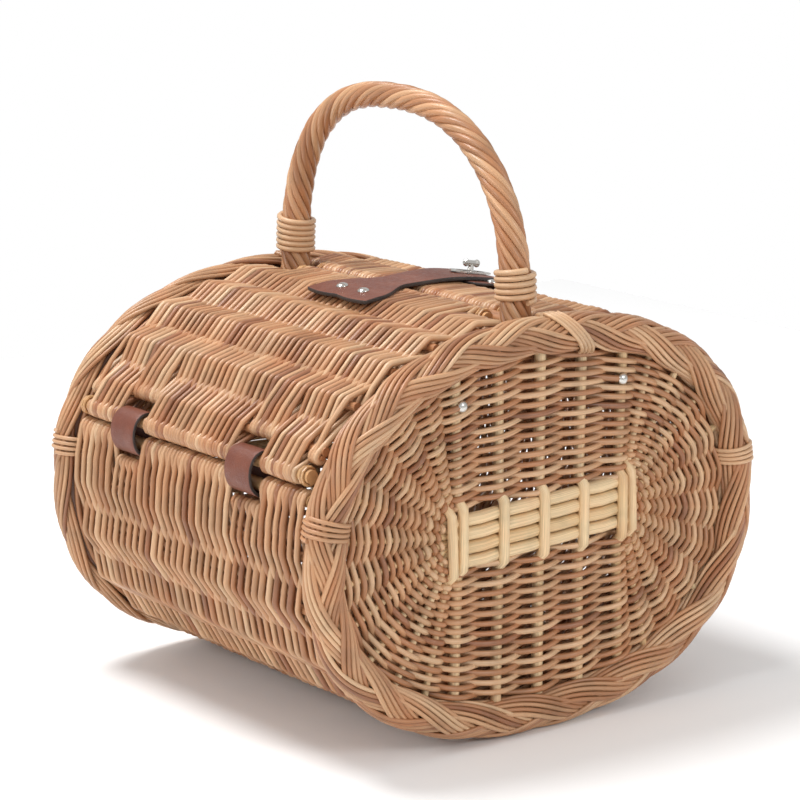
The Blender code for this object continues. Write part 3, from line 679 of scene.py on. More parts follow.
@dataclass
class Trough:
    """Woven shell under both lids."""

    half: float = 0.1457
    bays: int = 16
    rise: float = 0.0056
    pitch: float = 0.0043
    notch_arc: float = 0.0165

    def build(self, chance: random.Random) -> None:
        """Weaves the shell round its rail rods."""
        start = OVAL.turn_at(RAIL_Z, RAIL_INSET)
        route = OVAL.arc(start, -math.pi - start, lambda share: RAIL_INSET)
        stakes = [route.length * bay / self.bays for bay in range(1, self.bays)]
        wall = WovenWall("trough_weave", route, self.half, stakes, self.rise, self.pitch)
        plain = (Edge(0.0, wall.rod_wrap), Edge(route.length, wall.rod_wrap))
        notches = (self.notch_arc, route.length - self.notch_arc)
        notched = (Edge(notches[0], wall.notch_wrap), Edge(notches[1], wall.notch_wrap))

        def edges(x: float) -> tuple[Edge, Edge]:
            """First and last edge of the weaver at x."""
            return notched if abs(abs(x) - RING_X) < RING_HALF else plain

        work = wall.weave(edges, chance)
        for end in End:
            low = end.value * RING_X - RING_HALF - wall.pitch
            high = end.value * RING_X + RING_HALF + wall.pitch
            for arc in notches:
                wall.short_stake(work, arc, low, high)
        seat(work.build(), "basket", ["body_shell"])


@dataclass
class Lid:
    """One woven lid."""

    side: Side
    half: float = 0.1448
    mid_inset: float = 0.0089
    inset_run: float = 0.1
    meeting_inset: float = 0.009
    meeting_y: float = 0.010
    first_stake: float = 0.020
    bay: float = 0.0385
    stakes: int = 6
    rise: float = 0.0064
    pitch: float = 0.00345
    notch_arc: float = 0.0215
    corner_arc: float = 0.0150
    meeting_notch: float = 0.0140
    hinge_corner_x: float = 0.1345
    meeting_corner_x: float = 0.1059

    def build(self, chance: random.Random) -> None:
        """Weaves the lid between its hinge rod and its meeting rod."""
        start = OVAL.turn_at(HINGE_Z, HINGE_INSET)
        if self.side is Side.FRONT:
            start = math.pi - start
        stop = OVAL.turn_across(self.side.value * self.meeting_y, self.meeting_inset)
        drop = self.mid_inset - HINGE_INSET
        route = OVAL.arc(start, stop, lambda share: HINGE_INSET + drop * ease(share / self.inset_run))
        stakes = [self.first_stake + self.bay * index for index in range(self.stakes)]
        wall = WovenWall(f"{self.side.word}_lid_weave", route, self.half, stakes, self.rise, self.pitch)
        far = route.length

        def edges(x: float) -> tuple[Edge, Edge]:
            """First and last edge of the weaver at x."""
            first = Edge(0.0, wall.rod_wrap)
            last = Edge(far, wall.rod_wrap)
            if abs(abs(x) - RING_X) < RING_HALF:
                first = Edge(self.notch_arc, wall.notch_wrap)
            if abs(x) > self.hinge_corner_x:
                first = Edge(self.corner_arc, wall.notch_wrap)
            if abs(x) > self.meeting_corner_x:
                last = Edge(far - self.meeting_notch, wall.notch_wrap)
            return first, last

        work = wall.weave(edges, chance)
        corners = ((self.corner_arc, self.hinge_corner_x), (far - self.meeting_notch, self.meeting_corner_x))
        reach = RING_HALF + wall.pitch
        for end in (-1, 1):
            wall.short_stake(work, self.notch_arc, end * RING_X - reach, end * RING_X + reach)
            for arc, corner_x in corners:
                wall.short_stake(work, arc, *sorted((end * (corner_x - wall.pitch), end * self.half)))
        seat(work.build(), f"{self.side.word}_lid", [f"{self.side.word}_lid_panel"])


# Ends


@dataclass
class Border:
    """Plaited ring of one end, and its bindings."""

    end: End
    x: float = 0.162
    centre_inset: float = 0.015
    half_x: float = 0.0122
    half_out: float = 0.0113
    periods: int = 4
    bundles: int = 5
    rods: int = 5
    rod_r: float = 0.00168
    rod_pitch: float = 0.0035
    swing: float = 0.0165
    rise: float = 0.0020
    back_rods: int = 5
    back_rod_r: float = 0.0022
    back_sink: float = 0.0008
    core_r: float = 0.0095
    ring_steps: int = 120
    back_turns: tuple[float, float] = (math.radians(190), math.radians(286))
    face_turn: float = math.radians(62)
    points: int = 200
    tie_r: float = 0.0016
    tie_loops: int = 4
    tie_pitch: float = 0.0036
    tie_z: float = 0.180
    tie_lift: float = 0.0037
    tie_steps: int = 20
    tie_weights: tuple[int, ...] = (3, 4, 1, 3, 0)
    foot_tie_offset: float = 0.024
    foot_tie_skew: float = 0.016

    def route(self) -> Route:
        """Middle of the ring, from its lowest point."""
        return OVAL.arc(-math.pi / 2, 3 * math.pi / 2, lambda share: self.centre_inset)

    def at(self, route: Route, arc: float, turned: float, lift: float) -> Vector:
        """Point on the ring's skin.

        Args:
            route: Middle of the ring.
            arc: Distance along it.
            turned: Angle round the section, from straight out of the barrel to its end.
            lift: Height over the skin.

        Returns:
            The point.
        """
        centre, tangent = route.place(arc % route.length)
        out = away(centre, tangent) * (self.half_out + lift) * math.cos(turned)
        along = Vector((self.end.value * (self.x + (self.half_x + lift) * math.sin(turned)), 0.0, 0.0))
        return centre + out + along

    def ties(self, route: Route) -> dict[str, float]:
        """Arc lengths of the bindings by name."""
        back = OVAL.turn_at(self.tie_z, self.centre_inset)
        return {
            "back_tie": self.arc_at(route, back),
            "foot_tie": self.arc_at(route, math.pi / 2) - self.foot_tie_offset,
            "front_tie": self.arc_at(route, math.pi - back),
        }

    def arc_at(self, route: Route, turn: float) -> float:
        """Distance along the ring at a turn of the oval."""
        return route.marks[round((turn + math.pi / 2) / (2 * math.pi) * OVAL.fine)]

    def build(self, chance: random.Random) -> None:
        """Plaits the ring."""
        route = self.route()
        work = StrandWork(f"{self.end.word}_border_plait")
        mean = (self.half_x + self.half_out) / 2
        for bundle in range(self.bundles):
            for rod in range(self.rods):
                offset = (rod - (self.rods - 1) / 2) * self.rod_pitch
                points = []
                for step in range(self.points):
                    share = step / self.points
                    phase = 2 * math.pi * (self.periods * share + bundle / self.bundles)
                    across = self.swing * math.sin(phase) + offset
                    lift = -self.rise * math.sin(2 * phase)
                    point = self.at(route, route.length * share, self.face_turn + across / mean, lift)
                    point.z = max(point.z, self.rod_r)
                    points.append(point)
                size = chance.uniform(0.95, 1.1)
                work.add(Strand(points, self.rod_r * size, pick_tone(chance), True))
        low, high = self.back_turns
        for rod in range(self.back_rods):
            turned = low + (high - low) * rod / (self.back_rods - 1)
            points = self.ring(route, turned, -self.back_sink)
            work.add(Strand(points, self.back_rod_r, pick_tone(chance), True))
        # Painted shade: a thick near-black core rod fills the middle of the ring, so the gaps between the
        # plait rods read dark.
        work.tones = (*TONES, PAINTED_SHADE_CORE)
        work.add(Strand(self.ring(route, 0.0, -self.half_out), self.core_r, len(TONES), True))
        seat(work.build(), "basket", [f"{self.end.word}_border"])
        self.bind(route, chance)

    def ring(self, route: Route, turned: float, lift: float) -> list[Vector]:
        """Points of a rod that keeps its place on the ring's skin, once round."""
        arcs = [route.length * step / self.ring_steps for step in range(self.ring_steps)]
        return [self.at(route, arc, turned, lift) for arc in arcs]

    def bind(self, route: Route, chance: random.Random) -> None:
        """Winds the bindings round the plait."""
        for name, arc in self.ties(route).items():
            work = StrandWork(f"{self.end.word}_border_{name}_skein")
            points = []
            skew = self.foot_tie_skew if name == "foot_tie" else 0.0
            for step in range(self.tie_loops * self.tie_steps + 1):
                turns = step / self.tie_steps
                angle = 2 * math.pi * turns
                place = arc + self.tie_pitch * (turns - self.tie_loops / 2) + skew * math.cos(angle)
                points.append(self.at(route, place, angle, self.tie_lift))
            work.add(Strand(points, self.tie_r, pick_tone(chance, self.tie_weights)))
            seat(work.build(), "basket", [f"{self.end.word}_border_{name}"])


@dataclass
class EndPanel:
    """Oval end of weavers round a slath of crossed sticks."""

    end: End
    mid_x: float = 0.1606
    slath_z: float = 0.155
    slath_half_y: float = 0.0855
    slath_half_z: float = 0.0208
    stick_pitch: float = 0.0375
    spare_y: float = 0.0842
    sticks: int = 5
    fans: int = 10
    rows: int = 28
    border_inset: float = 0.0290
    weaver_r: float = 0.0022
    stick_r: float = 0.0041
    fan_r: float = 0.0027
    stick_lift: float = 0.0012
    splay: float = 1.04
    grip: float = 0.85
    sway: float = 0.3
    fan_tuck: float = 0.006
    fan_bow: float = 0.010
    slath_rods: int = 4
    slath_rod_r: float = 0.0051
    slath_lift: float = 0.0035
    slath_dip: float = 0.0011
    bar_lift: float = 0.0078
    bar_shoulder: float = 0.0075
    bar_heights: tuple[float, ...] = (-0.02, 0.93, 0.99, 1.1, 1.5, 1.9, 2.01, 2.07, 3.02)
    spare_r: float = 0.92
    spare_tip: float = 1.3
    spare_bend: float = 1.02
    steps: int = 6
    tilt: float = math.radians(2.5)

    def spokes(self) -> list[tuple[Vector, Vector, float]]:
        """Inner point, outer point and radius of each stick, once round the slath."""
        found = []
        reach = (self.sticks - 1) / 2 * self.stick_pitch
        for face in (1, -1):
            for index in range(self.sticks):
                y = face * (reach - index * self.stick_pitch)
                inner = Vector((0.0, y, self.slath_z + face * self.slath_half_z))
                outer = OVAL.top(y * self.splay, self.border_inset)
                if face < 0:
                    outer = Vector((0.0, y * self.splay, 2 * OVAL.centre_z - outer.z))
                found.append((inner, outer, self.stick_r))
            corner = found[-1][1]
            begin = math.atan2(corner.z - OVAL.centre_z, corner.y)
            other = Vector((0.0, corner.y, 2 * OVAL.centre_z - corner.z))
            finish = math.atan2(other.z - OVAL.centre_z, other.y)
            if face > 0:
                finish += 2 * math.pi
            for index in range(1, self.fans + 1):
                share = index / (self.fans + 1)
                heading = begin + (finish - begin) * share
                found.append((self.fan_inner(face, share), self.fan_outer(heading), self.fan_r))
        return found

    def fan_inner(self, face: int, share: float) -> Vector:
        """Where a fanned stick leaves the slath's round end."""
        angle = math.pi / 2 - math.pi * share
        y = -face * (self.slath_half_y - self.fan_tuck + self.fan_bow * math.cos(angle))
        return Vector((0.0, y, self.slath_z + face * self.slath_half_z * math.sin(angle)))

    def fan_outer(self, heading: float) -> Vector:
        """Where a fanned stick meets the border, seen from the oval's middle."""
        low = 0.0
        high = 0.3
        aim = Vector((0.0, math.cos(heading), math.sin(heading)))
        for _ in range(40):
            middle = (low + high) / 2
            y = abs(aim.y * middle) / (OVAL.half_w - self.border_inset)
            z = abs(aim.z * middle) / (OVAL.half_h - self.border_inset)
            if y ** OVAL.power + z ** OVAL.power < 1.0:
                low = middle
            else:
                high = middle
        return aim * low + Vector((0.0, 0.0, OVAL.centre_z))

    def settle(self, point: Vector) -> Vector:
        """Point of the right-hand end turned onto this end."""
        if self.end is End.RIGHT:
            return point
        return Vector((-point.x, -point.y, point.z))

    def row(self, spokes: list, share: float, start: int) -> list[Vector]:
        """One weaver, once round the panel.

        Args:
            spokes: Sticks that it passes.
            share: Place between the slath and the border, 0 to 1.
            start: 0 or 1, for rows that pass in front of even or odd sticks.

        Returns:
            Points of the weaver.
        """
        count = len(spokes)
        knots = [inner.lerp(outer, share) for inner, outer, _ in spokes]
        points = []
        for index in range(count):
            before, here, after, beyond = (knots[(index + shift) % count] for shift in (-1, 0, 1, 2))
            depth_a = spokes[index][2] + self.grip * self.weaver_r
            depth_b = spokes[(index + 1) % count][2] + self.grip * self.weaver_r
            for step in range(self.steps):
                t = step / self.steps
                point = smooth_between(before, here, after, beyond, t)
                heading = (after - here).normalized()
                across = Vector((0.0, -heading.z, heading.y))
                phase = math.pi * (index + start + t)
                depth = depth_a + (depth_b - depth_a) * t
                lifted = point + across * self.sway * self.weaver_r * math.sin(phase)
                lifted.x = self.mid_x + depth * math.cos(phase)
                points.append(self.settle(lifted))
        return points

    def build(self, chance: random.Random) -> None:
        """Weaves the panel, its sticks and its slath."""
        spokes = self.spokes()
        work = StrandWork(f"{self.end.word}_end_weave", (*TONES, *PALE_TONES))
        for index in range(self.rows):
            share = (index + 0.5) / self.rows
            size = chance.uniform(0.92, 1.1)
            points = self.row(spokes, share, index % 2)
            work.add(Strand(points, self.weaver_r * size, pick_tone(chance), True))
        for inner, outer, radius in spokes:
            if radius == self.stick_r:
                continue
            lift = Vector((self.mid_x + self.stick_lift, 0.0, 0.0))
            run = [self.settle(inner.lerp(outer, t) + lift) for t in (-0.05, 0.5, 1.06)]
            work.add(Strand(run, radius, len(TONES) + pick_tone(chance, (1, 2))))
        seat(work.build(), "basket", [f"{self.end.word}_end_panel"])
        self.lay_slath(spokes, chance)

    def lay_slath(self, spokes: list, chance: random.Random) -> None:
        """Lays the pale crossed sticks."""
        work = StrandWork(f"{self.end.word}_slath", PALE_TONES)
        turn = Matrix.Translation((0.0, 0.0, self.slath_z)) @ Matrix.Rotation(self.tilt, 4, "X")
        for rod in range(self.slath_rods):
            z = (rod - (self.slath_rods - 1) / 2) * 2 * self.slath_rod_r
            points = []
            for step in range(2 * self.steps + 1):
                y = (step / self.steps - 1) * self.spare_y
                dip = self.slath_dip * math.cos(2 * math.pi * y / self.stick_pitch)
                points.append(self.settle(turn @ Vector((self.mid_x + self.slath_lift - dip, y, z))))
            work.add(Strand(points, self.slath_rod_r * chance.uniform(0.94, 1.02), pick_tone(chance, (3, 1))))
        top = spokes[:self.sticks]
        bottom = spokes[self.sticks + self.fans:2 * self.sticks + self.fans]
        under = self.stick_lift
        over = self.bar_lift
        lifts = (under, under, self.bar_shoulder, over, over, over, self.bar_shoulder, under, under)
        for upper, lower in zip(top, reversed(bottom)):
            points = []
            ends = (lower[1], lower[0], upper[0], upper[1])
            for height, lift in zip(self.bar_heights, lifts):
                low = min(int(max(height, 0.0)), 2)
                point = ends[low].lerp(ends[low + 1], height - low)
                points.append(self.settle(Vector((self.mid_x + lift, point.y, point.z))))
            work.add(Strand(points, self.stick_r * chance.uniform(0.98, 1.08), pick_tone(chance, (3, 1))))
        tip = self.spare_tip
        bend = self.spare_bend
        for side in (-1, 1):
            points = []
            for height, lift in ((-tip, under), (-bend, over), (0.0, over), (bend, over), (tip, under)):
                place = Vector((self.mid_x + lift, side * self.spare_y, height * self.slath_half_z))
                points.append(self.settle(turn @ place))
            work.add(Strand(points, self.stick_r * self.spare_r, 0))
        seat(work.build(), "basket", [f"{self.end.word}_end_slath"])


def smooth_between(before: Vector, here: Vector, after: Vector, beyond: Vector, t: float) -> Vector:
    """Point of a smooth line between two of its knots."""
    return 0.5 * (
        2 * here + (after - before) * t + (2 * before - 5 * here + 4 * after - beyond) * t ** 2
        + (3 * here - before - 3 * after + beyond) * t ** 3)


# Handle


@dataclass
class Handle:
    """Twisted rod handle and its foot windings."""

    top: float = 0.455
    foot_z: float = 0.306
    foot_x: float = 0.1342
    leg_r: float = 0.0115
    top_r: float = 0.0098
    bow_power: float = 2.4
    tail_z: float = 0.215
    tail_x: float = 0.1457
    tail_r: float = 0.008
    lean: float = 0.007
    rods: int = 9
    rod_r: float = 0.0028
    lay: float = math.radians(35)
    steps: int = 230
    bow_steps: int = 1200
    waist_drop: float = 0.042
    neck_drop: float = 0.015
    core_r: float = 0.0055
    core_steps: int = 100
    rod_weights: tuple[int, ...] = (4, 3, 4, 3, 1)
    wind_loops: tuple[tuple[End, int], ...] = ((End.LEFT, 6), (End.RIGHT, 5))
    wind_start: float = 0.006
    wind_pitch: float = 0.0045
    wind_r: float = 0.0134
    skein_r: float = 0.0022
    skein_tone: int = 3
    wind_steps: int = 24

    def bow(self) -> Route:
        """Middle line from the left foot over to the right."""
        points = []
        rise = self.top - self.top_r - self.foot_z
        power = 2 / self.bow_power
        for step in range(self.bow_steps + 1):
            turn = math.pi * step / self.bow_steps
            x = -self.foot_x * math.copysign(abs(math.cos(turn)) ** power, math.cos(turn))
            x -= self.lean * math.sin(turn) ** 2
            points.append(Vector((x, 0.0, self.foot_z + rise * abs(math.sin(turn)) ** power)))
        return Route(points)

    def line(self) -> Route:
        """Middle line with the tails inside the end panels."""
        bow = self.bow().points
        waist_x = (self.tail_x + self.foot_x) / 2
        down = [
            Vector((-self.tail_x, 0.0, self.tail_z)),
            Vector((-waist_x, 0.0, self.foot_z - self.waist_drop)),
            Vector((-self.foot_x, 0.0, self.foot_z - self.neck_drop)),
        ]
        return Route(down + bow + [Vector((-point.x, 0.0, point.z)) for point in reversed(down)])

    def build(self, chance: random.Random) -> None:
        """Twists the handle and winds its feet."""
        line = self.line()
        rate = math.tan(self.lay) / self.leg_r
        work = StrandWork("handle_twist", (*TONES, PAINTED_SHADE_CORE))
        for rod in range(self.rods):
            points = []
            for step in range(self.steps + 1):
                arc = line.length * step / self.steps
                centre, tangent = line.place(arc)
                radius = self.radius_at(centre) - self.rod_r
                angle = rate * arc + 2 * math.pi * rod / self.rods
                points.append(self.round(centre, tangent, radius, angle))
            tone = pick_tone(chance, self.rod_weights)
            work.add(Strand(points, self.rod_r * chance.uniform(0.94, 1.1), tone))
        # Painted shade: a near-black core rod inside the twist, seen through the gaps between the twisted
        # rods.
        steps = self.core_steps
        core = [line.place(line.length * step / steps)[0] for step in range(steps + 1)]
        work.add(Strand(core, self.core_r, len(TONES)))
        seat(work.build(), "basket", ["handle"])
        for end, loops in self.wind_loops:
            self.wind(end, loops)

    def round(self, centre: Vector, tangent: Vector, radius: float, angle: float) -> Vector:
        """Point at an angle round the handle's middle line."""
        normal = Vector((-tangent.z, 0.0, tangent.x))
        return centre + normal * radius * math.cos(angle) + Vector((0.0, radius * math.sin(angle), 0.0))

    def radius_at(self, centre: Vector) -> float:
        """Outer radius of the twist at a height."""
        neck_z = self.foot_z - self.neck_drop
        if centre.z < neck_z:
            share = ease((centre.z - self.tail_z) / (neck_z - self.tail_z))
            return self.tail_r + (self.leg_r - self.tail_r) * share
        share = (centre.z - self.foot_z) / (self.top - self.foot_z)
        return self.leg_r + (self.top_r - self.leg_r) * ease(share)

    def wind(self, end: End, loops: int) -> None:
        """Winds one foot."""
        bow = self.bow()
        work = StrandWork(f"{end.word}_foot_winding")
        points = []
        for step in range(loops * self.wind_steps + 1):
            turns = step / self.wind_steps
            centre, tangent = bow.place(self.wind_start + self.wind_pitch * turns)
            point = self.round(centre, tangent, self.wind_r, 2 * math.pi * turns)
            point.x *= -end.value
            points.append(point)
        work.add(Strand(points, self.skein_r, self.skein_tone))
        seat(work.build(), "basket", [f"{end.word}_handle_foot_winding"])


# Leather


def shape_object(name: str, mesh: bmesh.types.BMesh, finishes: Sequence) -> bpy.types.Object:
    """Object from a bmesh in world places."""
    data = bpy.data.meshes.new(name)
    mesh.to_mesh(data)
    mesh.free()
    for finish in finishes:
        data.materials.append(finish.make())
    return show(name, data)


def settle_modifiers(made: bpy.types.Object) -> None:
    """Turns an object's modifiers into its mesh."""
    view = bpy.context.evaluated_depsgraph_get()
    data = bpy.data.meshes.new_from_object(made.evaluated_get(view))
    made.modifiers.clear()
    made.data = data


def thicken(made: bpy.types.Object, thick: float, edge_r: float) -> None:
    """Gives a sheet its thickness outwards, a dark rim and soft edges."""
    solid = made.modifiers.new("thickness", "SOLIDIFY")
    solid.thickness = thick
    solid.offset = 1.0
    solid.use_even_offset = True
    solid.material_offset_rim = 1
    soft = made.modifiers.new("edges", "BEVEL")
    soft.width = edge_r
    soft.segments = 2
    soft.limit_method = "ANGLE"
    soft.angle_limit = math.radians(50)
    settle_modifiers(made)
    smooth(made)


@dataclass
class HingeRing:
    """Leather loop round a lid's hinge rod and the trough's rail."""

    side: Side
    end: End
    band: float = 0.030
    thick: float = 0.0026
    clearance: float = 0.0057
    bulge: float = 0.0060
    back_bulge: float = 0.0012
    fullness: float = 0.8
    edge_r: float = 0.0005
    steps: int = 48
    bands: int = 6

    def build(self) -> None:
        """Bends the loop, fuller on its outside."""
        hinge = OVAL.point(OVAL.turn_at(HINGE_Z, HINGE_INSET), HINGE_INSET)
        rail = OVAL.point(OVAL.turn_at(RAIL_Z, RAIL_INSET), RAIL_INSET)
        middle = (hinge + rail) / 2
        long_half = (hinge - rail).length / 2 + self.clearance
        up = (hinge - rail).normalized()
        out = Vector((0.0, up.z, -up.y))
        mesh = bmesh.new()
        x = self.end.value * RING_X - self.band / 2
        loop = []
        for step in range(self.steps):
            angle = 2 * math.pi * step / self.steps
            across = self.clearance + (self.bulge if math.cos(angle) > 0 else self.back_bulge)
            lift = math.copysign(abs(math.cos(angle)) ** self.fullness, math.cos(angle))
            point = middle + up * long_half * math.sin(angle) + out * across * lift
            loop.append(mesh.verts.new((x, self.side.value * point.y, point.z)))
        for first, second in zip(loop, loop[1:] + loop[:1]):
            mesh.edges.new((first, second))
        edges = mesh.edges[:]
        for _ in range(self.bands):
            drawn = bmesh.ops.extrude_edge_only(mesh, edges=edges)
            edges = [item for item in drawn["geom"] if isinstance(item, bmesh.types.BMEdge)]
            moved = [item for item in drawn["geom"] if isinstance(item, bmesh.types.BMVert)]
            bmesh.ops.translate(mesh, verts=moved, vec=(self.band / self.bands, 0.0, 0.0))
        bmesh.ops.recalc_face_normals(mesh, faces=mesh.faces)
        name = f"{self.side.word}_{self.end.word}_hinge_loop"
        made = shape_object(name, mesh, (HIDE, HIDE_EDGE))
        thicken(made, self.thick, self.edge_r)
        seat(made, "basket", [f"{self.side.word}_{self.end.word}_hinge_ring"])
        LOG.info("%s: %d faces", name, len(made.data.polygons))


@dataclass
class LockStrap:
    """Leather strap over both lids, and its patch."""

    thick: float = 0.003
    end_y: float = -0.062
    tip_y: float = 0.092
    end_half: float = 0.036
    waist_half: float = 0.0175
    waist_y: float = -0.006
    shield_half: float = 0.024
    shield_y: float = 0.062
    tip_half: float = 0.008
    rivet_y: float = -0.045
    scallop: float = 0.0022
    scallop_share: float = 0.125
    edge_r: float = 0.0006
    grid: tuple[int, int] = (36, 60)
    patch_thick: float = 0.002
    patch_length: float = 0.072
    patch_band: float = 0.040
    patch_edge_r: float = 0.0005
    patch_round: float = 0.007
    lock_y: float = 0.066
    lid_inset: float = 0.001
    touch: float = 0.0003

    def half_at(self, y: float) -> float:
        """Half width: flared end, waist and shield-shaped tip."""
        if y < self.waist_y:
            share = ease((y - self.rivet_y) / (self.waist_y - self.rivet_y))
            return self.end_half + (self.waist_half - self.end_half) * share
        if y < self.shield_y:
            share = ease((y - self.waist_y) / (self.shield_y - self.waist_y))
            return self.waist_half + (self.shield_half - self.waist_half) * share
        share = (y - self.shield_y) / (self.tip_y - self.shield_y)
        return self.shield_half + (self.tip_half - self.shield_half) * share * share

    def lift_at(self, y: float) -> float:
        """Height of the strap's underside over the lids."""
        edge = self.lock_y - self.patch_band / 2
        return self.touch + (self.patch_thick + self.touch) * ease((y - self.waist_y) / (edge - self.waist_y))

    def lid_point(self, y: float, lift: float) -> Vector:
        """Point that stands over the lids' outer face."""
        return OVAL.top(y, self.lid_inset - lift)

    def sheet(self, name: str, low: float, high: float, half: Callable, lift: Callable,
              scallop: float = 0.0) -> bpy.types.Object:
        """Leather sheet that follows the lids, before it gets its thickness.

        Args:
            name: Name of the piece.
            low: Y of its front end.
            high: Y of its back end.
            half: Half width by Y.
            lift: Height over the lids by Y.
            scallop: Depth of the lobes cut into the front end.

        Returns:
            The sheet.
        """
        mesh = bmesh.new()
        bmesh.ops.create_grid(mesh, x_segments=self.grid[0], y_segments=self.grid[1], size=1.0)
        for vert in mesh.verts:
            share = (vert.co.y + 1) / 2
            y = low + (high - low) * share
            lobe = 1 - abs(math.sin(math.pi * (vert.co.x + 1)))
            y += scallop * lobe * max(0.0, 1 - share / self.scallop_share)
            point = self.lid_point(y, lift(y))
            vert.co = Vector((vert.co.x * half(y), point.y, point.z))
        bmesh.ops.recalc_face_normals(mesh, faces=mesh.faces)
        if mesh.faces[:][0].normal.z < 0:
            bmesh.ops.reverse_faces(mesh, faces=mesh.faces)
        return shape_object(name, mesh, (HIDE, HIDE_EDGE))

    def build(self) -> None:
        """Cuts the strap and the patch."""
        strap = self.sheet(
            "lock_strap_leather", self.end_y, self.tip_y, self.half_at, self.lift_at, self.scallop)
        thicken(strap, self.thick, self.edge_r)
        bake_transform(strap)
        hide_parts("lock_strap_root", "lock_strap_flap")
        low = self.lock_y - self.patch_band / 2
        patch = self.sheet(
            "lock_patch_leather", low, low + self.patch_band, self.patch_half, lambda y: self.touch)
        thicken(patch, self.patch_thick, self.patch_edge_r)
        seat(patch, "back_lid", ["lock_patch"])

    def patch_half(self, y: float) -> float:
        """Half width of the patch, round at its corners."""
        edge = abs(y - self.lock_y) / (self.patch_band / 2)
        return self.patch_length / 2 - self.patch_round * edge ** 6


# Metal and carried-over pieces


@dataclass(frozen=True)
class Domes:
    """Round rivet and stud heads in the places of their CAD nodes."""

    names: tuple[str, ...]
    body: str
    rise: float = 0.0024
    sink: float = 0.0009
    probe: float = 0.004
    probe_inset: float = 0.001

    def build(self) -> None:
        """Makes each head from a squashed ball."""
        for name in self.names:
            low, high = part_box(name)
            middle = (low + high) / 2
            size = high - low
            radius = max(size) / 2
            normal = self.normal(size, middle)
            mesh = bmesh.new()
            bmesh.ops.create_uvsphere(mesh, u_segments=28, v_segments=14, radius=1.0)
            turn = Vector((0.0, 0.0, 1.0)).rotation_difference(normal).to_matrix().to_4x4()
            shape = Matrix.Diagonal((radius, radius, self.rise, 1.0))
            base = middle - normal * self.sink
            bmesh.ops.transform(mesh, matrix=Matrix.Translation(base) @ turn @ shape, verts=mesh.verts)
            made = shape_object(f"{name}_head", mesh, (PLATED,))
            smooth(made)
            seat(made, self.body, [name])

    def normal(self, size: Vector, middle: Vector) -> Vector:
        """Direction that a head faces."""
        if size.x < min(size.y, size.z):
            return Vector((math.copysign(1.0, middle.x), 0.0, 0.0))
        before, after = (OVAL.top(middle.y + step, self.probe_inset) for step in (-self.probe, self.probe))
        return Vector((1.0, 0.0, 0.0)).cross((after - before).normalized())


def dress_cad(nodes: dict[str, bpy.types.Object]) -> None:
    """Gives the carried-over CAD nodes their finishes."""
    for name, node in nodes.items():
        if node.hide_render:
            continue
        finish = CAD_PALE
        if name in ("lock_plate", "lock_post", "turn_button"):
            finish = PLATED
        node.data.materials.clear()
        node.data.materials.append(finish.make())
        smooth(node)
        LOG.info("%s: CAD node dressed", name)


# Studio


def point_at(made: bpy.types.Object, place: Sequence[float], aim: Sequence[float]) -> None:
    """Puts a lamp or camera in its place, turned towards a point."""
    made.location = place
    made.rotation_euler = (Vector(aim) - Vector(place)).to_track_quat("-Z", "Y").to_euler()


@dataclass(frozen=True)
class Lamp:
    """Soft lamp aimed at the object."""

    name: str
    place: tuple[float, float, float]
    power: float
    size: float
    aim: tuple[float, float, float] = (0.0, 0.0, 0.2)

    def build(self) -> None:
        """Hangs the lamp."""
        data = bpy.data.lights.new(self.name, "AREA")
        data.energy = self.power
        data.shape = "DISK"
        data.size = self.size
        point_at(show(self.name, data), self.place, self.aim)


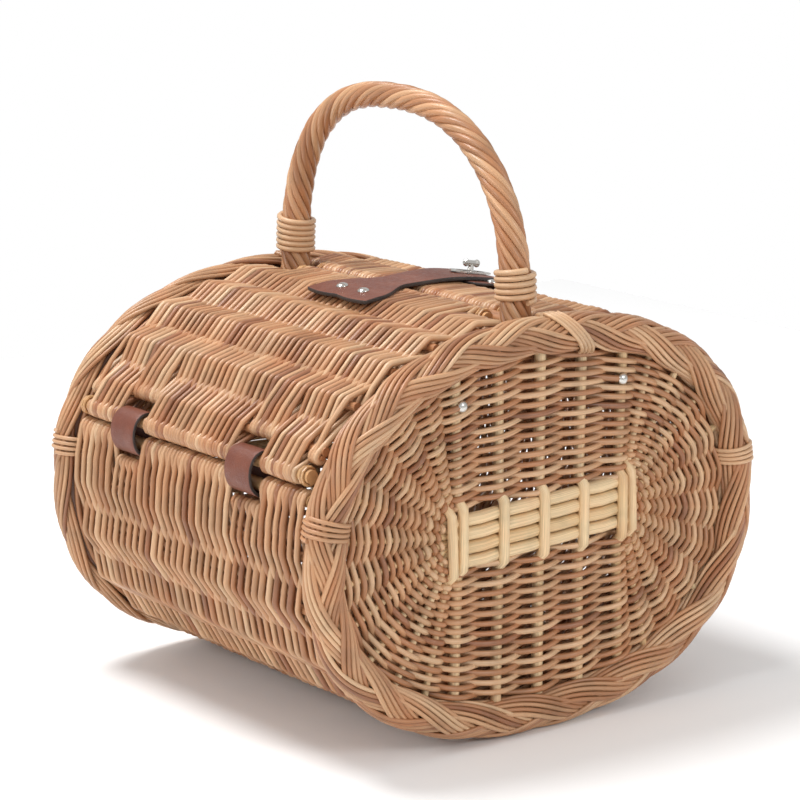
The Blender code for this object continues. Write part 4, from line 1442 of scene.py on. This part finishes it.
@dataclass(frozen=True)
class Studio:
    """Pale floor, soft light and the photograph's camera."""

    lamps: tuple[Lamp, ...] = (
        Lamp("overhead", (-0.7, -0.7, 2.4), 46.0, 0.9),
        Lamp("front", (0.3, -2.6, 1.5), 19.0, 0.8),
        Lamp("end", (2.6, 0.4, 1.4), 18.0, 0.8),
    )
    eye: tuple[float, float, float] = (1.7505, -1.3575, 0.7151)
    aim: tuple[float, float, float] = (0.0047, -0.0042, 0.2167)
    lens: float = 135.0
    sensor: float = 36.0
    ambient: float = 0.62
    floor_half: float = 1.2
    floor_z: float = -0.0005

    def build(self) -> None:
        """Sets up the studio."""
        scene = bpy.context.scene
        scene.view_settings.view_transform = "Standard"
        self.lay_floor()
        self.light_sky(scene)
        for lamp in self.lamps:
            lamp.build()
        data = bpy.data.cameras.new("camera")
        data.lens = self.lens
        data.sensor_width = self.sensor
        scene.camera = show("camera", data)
        point_at(scene.camera, self.eye, self.aim)

    def lay_floor(self) -> None:
        """Lays the floor."""
        mesh = bmesh.new()
        bmesh.ops.create_grid(mesh, x_segments=1, y_segments=1, size=self.floor_half)
        data = bpy.data.meshes.new("floor")
        mesh.to_mesh(data)
        mesh.free()
        paint = bpy.data.materials.new("floor_paint")
        paint.use_nodes = True
        values = {"Base Color": (0.97, 0.97, 0.97, 1.0), "Roughness": 0.9, "Specular IOR Level": 0.1}
        NodeBench(paint.node_tree).fill(paint.node_tree.nodes["Principled BSDF"], values)
        data.materials.append(paint)
        floor = show("floor", data)
        floor.location.z = self.floor_z

    def light_sky(self, scene: bpy.types.Scene) -> None:
        """Even light all round, with a white backdrop for the camera."""
        sky = bpy.data.worlds.new("sky")
        sky.use_nodes = True
        bench = NodeBench(sky.node_tree)
        background = sky.node_tree.nodes["Background"]
        background.inputs["Color"].default_value = (1.0, 1.0, 1.0, 1.0)
        seen = bench.add("ShaderNodeLightPath").outputs["Is Camera Ray"]
        bench.feed(background.inputs["Strength"], bench.spread(seen, 0.0, 1.0, self.ambient, 1.0))
        scene.world = sky


def main() -> None:
    """Builds the basket's looks on its frame."""
    logging.basicConfig(level=logging.INFO, format="%(name)s %(message)s")
    for old in list(bpy.data.objects):
        bpy.data.objects.remove(old, do_unlink=True)
    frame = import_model()
    chance = random.Random(SEED)
    Trough().build(chance)
    for side in Side:
        Lid(side).build(chance)
    for end in End:
        Border(end).build(chance)
        EndPanel(end).build(chance)
    Handle().build(chance)
    for side in Side:
        for end in End:
            HingeRing(side, end).build()
    LockStrap().build()
    Domes(("strap_left_rivet", "strap_right_rivet"), "front_lid").build()
    Domes(("patch_left_rivet", "patch_right_rivet"), "back_lid").build()
    studs = tuple(f"{end.word}_end_{side.word}_stud" for end in End for side in Side)
    Domes(studs, "basket", 0.0032).build()
    dress_cad(frame["nodes"])
    Studio().build()
    bpy.context.view_layer.update()


if __name__ == "__main__":
    main()
